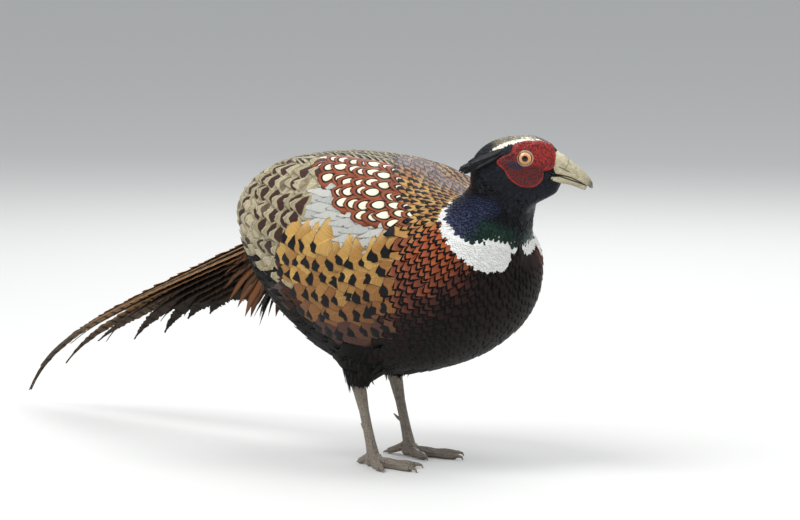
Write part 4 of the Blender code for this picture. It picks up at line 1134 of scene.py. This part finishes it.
def makeFace(tree):
    print("the face")
    steps, rings = face["steps"], face["rings"]
    skinFinish, ballFinish, rimFinish = wattleFinish(), eyeFinish(), lidFinish()
    angle = np.arange(steps) * 2 * math.pi / steps
    reach = faceReach(angle)
    reach = (reach * 2 + np.roll(reach, 1) + np.roll(reach, -1)) / 4
    for side, name in ((1, "left"), (-1, "right")):
        top, values = np.zeros((2, rings + 1, steps, 3))
        for k in range(rings + 1):
            share = k / rings
            rim = (1 - share) ** 0.5 * 1.25 if share > 0.8 else 0.6 + 0.25 * share
            for i in range(steps):
                radius = face["inner"] + (reach[i] - face["inner"]) * share
                x, z = radius * math.cos(angle[i]), radius * math.sin(angle[i])
                hit, normal = tree.ray_cast(fromHead(x, side * 0.05, z), headLeft * -side, 0.06)[:2]
                if hit is None:
                    hit, normal = fromHead(x, side * 0.006, z), headLeft * side
                pebble = math.sin(x * 4200 + 1.7 * math.sin(z * 2900))
                pebble *= math.sin(z * 3900 + 1.3 * math.sin(x * 3100))
                fold = math.sin(5 * angle[i] + 6 * share) * math.sin(math.pi * share)
                lift = face["thickness"] * min(1, rim)
                lift += face["pebble"] * pebble * (1 - share**6) + face["fold"] * fold
                top[k, i] = hit + normal * (lift if k < rings else -face["rimSunk"])
                values[k, i] = (share, x * 1000, z * 1000)
        index = np.arange(top.size // 3).reshape(rings + 1, steps)
        nxt = np.roll(index, -1, 1)
        quads = np.stack([index[:-1], nxt[:-1], nxt[1:], index[1:]], -1).reshape(-1, 4)
        piece = meshFromArrays("wattle_skin_" + name, top.reshape(-1, 3), quads)
        addAttribute(piece, "place", values.reshape(-1, 3))
        applyModifier(piece, "SOLIDIFY", thickness=face["wall"], offset=side)
        outward(piece)
        finishPiece(piece, skinFinish, "bare_skin", "wattle_" + name)
        makeEye(side, name, ballFinish, rimFinish)


def wattleFinish():
    finish = Finish("wattle_red", Specular_IOR_Level=0.35)
    share, x, z = finish.attribute("place")
    vector = finish.node("CombineXYZ", None, {0: x, 1: z, 2: 0.0})
    cells = finish.node("TexVoronoi", {"voronoi_dimensions": "2D"},
                        {"Vector": vector, "Scale": 0.68, "Randomness": 0.8})
    broad = finish.noise(0.25, 3, vector)
    red = broad.ramp(0.35, 0.65).mix("8a1816", "b02a22")
    red = cells.ramp(0.30, 0.60).mix(red, "5a0d0e")
    low = (z + x * 0.15).ramp(-2.0, -6.0) * x.ramp(15, 12)
    behind = x.ramp(-5, -9) * z.ramp(6, 2)
    front = x.ramp(15, 19) * z.ramp(0, -5) * 0.6
    inner = share.ramp(0.93, 0.86)
    dots = cells.ramp(0.46, 0.34) * low.most(behind).most(front).most(0.0) * inner
    red = (dots * 0.95).mix(red, "0d090d")
    patch = (((x + 7.5) / 6.5) ** 2 + ((z + 6.3 + x * 0.15) / 2.6) ** 2).ramp(1.1, 0.7)
    red = (patch * 0.9).mix(red, "1d1c30")
    # painted highlight: a lighter red along the rolled outer rim
    red = (share.ramp(0.90, 0.97) * 0.5).mix(red, "a03026")
    finish.set("Base Color", red)
    finish.set("Roughness", 0.5)
    finish.bump(cells * -1 + broad, 0.5, 0.0006)
    return finish.material


eye = {
    "radius": 0.0072, "side": 0.0098, "lid": 0.0058, "lidHalf": 0.0010,
    "pupilEdge": (2.45, 2.25), "irisEdge": (4.5, 5.0),     # in mm
    "beads": 22, "beadDepth": 0.05, "corners": 0.10,       # of the lids
}


def makeEye(side, name, ballFinish, rimFinish):
    centre = fromHead(0, side * eye["side"], 0)
    bpy.ops.object.select_all(action="DESELECT")
    bpy.ops.mesh.primitive_uv_sphere_add(segments=48, ring_count=32, radius=eye["radius"], location=centre)
    ball = bpy.context.active_object
    ball.name = ball.data.name = "eye_ball_" + name
    bpy.ops.object.transform_apply(location=True, rotation=False, scale=False)
    x, y, z = inHead(pointsOf(ball)[0])
    addAttribute(ball, "place", columnsOf(np.hypot(x, z) * 1000, y * side > 0, np.arctan2(z, x)))
    finishPiece(ball, ballFinish, "eye", "eye_" + name)
    bpy.ops.mesh.primitive_torus_add(major_segments=64, minor_segments=14, major_radius=eye["lid"],
                                     minor_radius=eye["lidHalf"], location=(0, 0, 0))
    lid = bpy.context.active_object
    lid.name = lid.data.name = "eyelid_" + name
    depth = math.sqrt(eye["radius"] ** 2 - eye["lid"] ** 2) + eye["side"] + 0.0004
    for vertex in lid.data.vertices:
        u, v, w = vertex.co
        angle = math.atan2(v, u)
        corner = abs(math.cos(angle))
        bead = 1 + eye["beadDepth"] * math.sin(angle * eye["beads"])
        across = eye["lid"] + (math.hypot(u, v) - eye["lid"]) * bead
        lift = w * bead * 1.1 - 0.0003 * corner
        vertex.co = fromHead(across * math.cos(angle) * (1 + eye["corners"] * corner**3),
                             side * (depth + lift), across * math.sin(angle))
    outward(lid)
    finishPiece(lid, rimFinish, "bare_skin")


def eyeFinish():
    finish = Finish("eye_iris", Roughness=0.16, Coat_Roughness=0.02, Specular_IOR_Level=0.3)
    away, out, angle = finish.attribute("place")
    rays = finish.noise(7, 3, flat=angle * 4)
    iris = away.ramp(2.3, 4.6).mix("d98a4c", "f0c48c")
    iris = (rays.ramp(0.45, 0.7) * 0.4).mix(iris, "b5622f")
    iris = away.ramp(*eye["irisEdge"]).mix(iris, "1a0d0a")
    iris = away.ramp(*eye["pupilEdge"]).mix(iris, "030303")
    finish.set("Base Color", out.mix((0.01, 0.005, 0.005, 1), iris))
    finish.set("Coat Weight", 0.45)
    return finish.material


def lidFinish():
    finish = Finish("eyelid_skin", Roughness=0.5)
    grain = finish.noise(900, 2, finish.objectPlace())
    finish.set("Base Color", grain.mix("8d5a4a", "d8b8a2"))
    finish.bump(grain, 0.4, 0.0003)
    return finish.material


bill = {
    # lines from the face to the tip, forward and up in the head's frame, and half widths along them
    "culmen": ((0.0215, 0.0062), (0.0300, 0.0010), (0.0400, -0.0072), (0.0470, -0.0135), (0.0505, -0.0190),
               (0.0512, -0.0235)),
    "mouth": ((0.0140, -0.0142), (0.0240, -0.0128), (0.0340, -0.0148), (0.0420, -0.0186), (0.0470, -0.0215),
              (0.0494, -0.0237)),
    "upperHalf": (0.0086, 0.0078, 0.0062, 0.0046, 0.0028, 0.0008),
    "underside": ((0.0150, -0.0190), (0.0240, -0.0196), (0.0340, -0.0212), (0.0415, -0.0240),
                  (0.0452, -0.0252)),
    "lowerHalf": (0.0082, 0.0070, 0.0054, 0.0038, 0.0018),
    "gap": 0.0005,
    "round": 2.2, "square": 6,           # outer and inner halves of the sections
    "flap": (0.0270, -0.0040, 0.0042, 0.0034, 0.0010),     # over the nostril: place, reach, height
    "slot": (0.0290, -0.0085, 0.0040, 0.0008, 0.0009),     # the nostril: place, reach, depth
}


def billSection(top, low, halves, share, angle, squareSide):
    tx, tz = curveShare(top, share)
    bx, bz = curveShare(low, share)
    size = roundSize(share)
    inner = math.sin(angle) * squareSide > 0
    across, up = ovalPoint(angle, bill["square"] if inner else bill["round"])
    mix = (up * size + 1) / 2
    return bx + (tx - bx) * mix, curveShare(halves, share) * across * size, bz + (tz - bz) * mix


def makeBill():
    print("the bill")

    def upperSection(share, angle):
        x, y, z = billSection(bill["culmen"], bill["mouth"], bill["upperHalf"], share, angle, -1)
        fx, fz, fLong, fHigh, flap = bill["flap"]
        sx, sz, sLong, sHigh, slot = bill["slot"]
        flap *= math.exp(-((x - fx) / fLong) ** 2 - ((z - fz) / fHigh) ** 2)
        slot *= math.exp(-((x - sx) / sLong) ** 2 - ((z - sz + (x - sx) * 0.5) / sHigh) ** 2)
        y += math.copysign(flap - slot, y) if abs(y) > 1e-5 else 0
        return fromHead(x, y, z)

    def lowerSection(share, angle):
        mouth = [(x, z - bill["gap"]) for x, z in bill["mouth"][:-1]]
        return fromHead(*billSection(mouth, bill["underside"], bill["lowerHalf"], share, angle, 1))

    finish = hornFinish()
    for name, sides, rings, section in (("bill_upper", 40, 48, upperSection),
                                        ("bill_lower", 32, 36, lowerSection)):
        piece = shapedSphere(name + "_horn", sides, rings, section)
        addAttribute(piece, "place", columnsOf(*inHead(pointsOf(piece)[0])) * 1000)
        finishPiece(piece, finish, "bill_horn", name)


def hornFinish():
    finish = Finish("bill_horn_keratin", Specular_IOR_Level=0.5)
    x, y, z = finish.attribute("place")
    vector = finish.node("CombineXYZ", None, {0: x * 0.5, 1: y, 2: z})
    grain = finish.noise(0.5, 3, vector)
    horn = grain.ramp(0.3, 0.7).mix("a69c7e", "c9c1a2")
    horn = ((x + z * 0.4).ramp(33, 42) * 0.5).mix(horn, "9d917a")
    horn = (z.ramp(-16, -20) * x.ramp(46, 40) * 0.5).mix(horn, "8d806a")
    tip = (x - z * 0.5).ramp(55, 60) * grain.ramp(0.25, 0.6)
    horn = (tip * 0.8).mix(horn, "332c26")
    # painted shade: the nostril slot and the line round its flap are darkened, in the recess and the crease;
    # the cracks share the colour and are the horn's own
    slot = abs(z + 8.5 + (x - 29) * 0.5).ramp(0.6, 0.15) * abs(x - 29.5).ramp(5.0, 3.6)
    flap = abs(((x - 25) ** 2 + (z + 2.5) ** 2) ** 0.5 - 7.5).ramp(0.7, 0.25) * x.ramp(27, 30)
    cracks = abs(finish.noise(0.22, 2, vector) - 0.5).ramp(0.012, 0.004) * x.ramp(30, 36)
    horn = slot.most(flap * 0.45).most(cracks * 0.35).mix(horn, "3a3026")
    # painted shadow: a dark line where the two mandibles meet, for the shade in the gap between them
    mouthShadeLine = -13.6 - (x - 26).most(0.0) * 0.35
    horn = (abs(z - mouthShadeLine + 0.4).ramp(0.8, 0.3) * x.ramp(50, 46)).mix(horn, "241d18")
    finish.set("Base Color", horn)
    finish.set("Roughness", 0.42)
    finish.bump(grain, 0.25, 0.0005)
    return finish.material


# Legs keep their CAD solids and get a scaly finish

def finishLegs():
    finish = Finish("leg_scales", Specular_IOR_Level=0.4)
    cells = finish.node("TexVoronoi", {"feature": "DISTANCE_TO_EDGE"},
                        {"Vector": finish.objectPlace(), "Scale": 420.0})
    grain = finish.noise(160, 3, finish.objectPlace())
    skin = grain.mix("6f665c", "968b7c")
    finish.set("Base Color", cells.ramp(0.06, 0.0).mix(skin, "3a342e"))
    finish.set("Roughness", 0.55)
    finish.bump(cells.ramp(0.0, 0.12), 0.5, 0.0006)
    for name in ("leg_left", "leg_right"):
        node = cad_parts[name]
        for entry in node.material_slots:
            entry.material = finish.material


# The skin's finish: dark under the feathers, lighter at the rear, white under the collar

def finishSkin(skin):
    finish = Finish("skin_under_feathers", Roughness=0.8, Specular_IOR_Level=0.2)
    grain = finish.noise(220, 3, finish.objectPlace())
    s, white = finish.attribute("zone")[:2]
    base = grain.mix("17130f", "2a221b")
    base = s.ramp(14.3, 14.8).mix(base, "5e543f")
    finish.set("Base Color", white.mix(base, "d8d8d2"))
    finish.bump(grain, 0.5, 0.0008)
    finishPiece(skin, finish.material, "plumage_black", "torso", "neck", "head", "thigh_left", "thigh_right")


# Camera, lights and floor

studio = {
    "azimuth": 46, "elevation": 5.5, "lens": 300, "distance": 5.2,
    "frame": (800, 520), "pixel": 0.00078,
    "middle": (391, 460.3),              # where the bird's origin on the floor lies in the picture
    "lights": (  # name, watts, size, azimuth, height, distance from the bird
        ("key", 34, 1.4, 0, 52, 2.2),
        ("fill", 8, 2.0, 95, 25, 2.4),
        ("top", 22, 1.6, 150, 75, 2.2),
        ("rim", 14, 1.2, 215, 35, 2.2),
    ),
    "lit": (0, 0, 0.15),
    "floor": (0.72, 0.72, 0.70, 1), "sky": (0.92, 0.95, 1.0, 1), "skyStrength": 0.55,
}


def wayTo(azimuth, height):
    # from the bird towards a place round it, in degrees
    a, e = math.radians(azimuth), math.radians(height)
    return Vector((math.sin(a) * math.cos(e), -math.cos(a) * math.cos(e), math.sin(e)))


def standAt(name, data, target, way, distance):
    # a camera or a light that looks at its target
    made = addObject(name, data)
    made.location = target + way * distance
    made.rotation_euler = (-way).to_track_quat("-Z", "Y").to_euler()
    return made


def makeStudio():
    print("camera, lights and floor")
    back = wayTo(studio["azimuth"], studio["elevation"])
    right = Vector((0, 0, 1)).cross(back).normalized()
    up = back.cross(right)
    (wide, high), (x, y) = studio["frame"], studio["middle"]
    target = place(0, 0, 0) + (right * (wide / 2 - x) + up * (y - high / 2)) * studio["pixel"]
    data = bpy.data.cameras.new("camera")
    data.lens, data.sensor_width = studio["lens"], 36
    data.clip_start, data.clip_end = 0.1, 60
    bpy.context.scene.camera = standAt("camera", data, target, back, studio["distance"])

    bpy.ops.object.select_all(action="DESELECT")
    bpy.ops.mesh.primitive_plane_add(size=12, location=(0, 0, 0))
    floor = bpy.context.active_object
    floor.name = "floor"
    finish = Finish("floor_paper", Base_Color=studio["floor"], Roughness=0.9, Specular_IOR_Level=0.1)
    floor.data.materials.append(finish.material)

    for name, power, size, azimuth, height, distance in studio["lights"]:
        data = bpy.data.lights.new(name, "AREA")
        data.energy, data.size = power, size
        standAt(name, data, Vector(studio["lit"]), wayTo(azimuth, height), distance)
    world = bpy.data.worlds.new("studio")
    world.use_nodes = True
    sky = world.node_tree.nodes["Background"]
    sky.inputs["Color"].default_value = studio["sky"]
    sky.inputs["Strength"].default_value = studio["skyStrength"]
    bpy.context.scene.world = world
    bpy.context.scene.view_settings.view_transform = "Standard"


skin = makeSkin()
bodyChart, skinTree = makeBodyChart(skin)
raiseWings(skin, bodyChart)
makeBodyCoat(bodyChart)
makeTail()
makeTailCoverts()
makeThighs(skinTree)
makeCrest()
makeFace(skinTree)
makeBill()
finishLegs()
finishSkin(skin)
makeStudio()
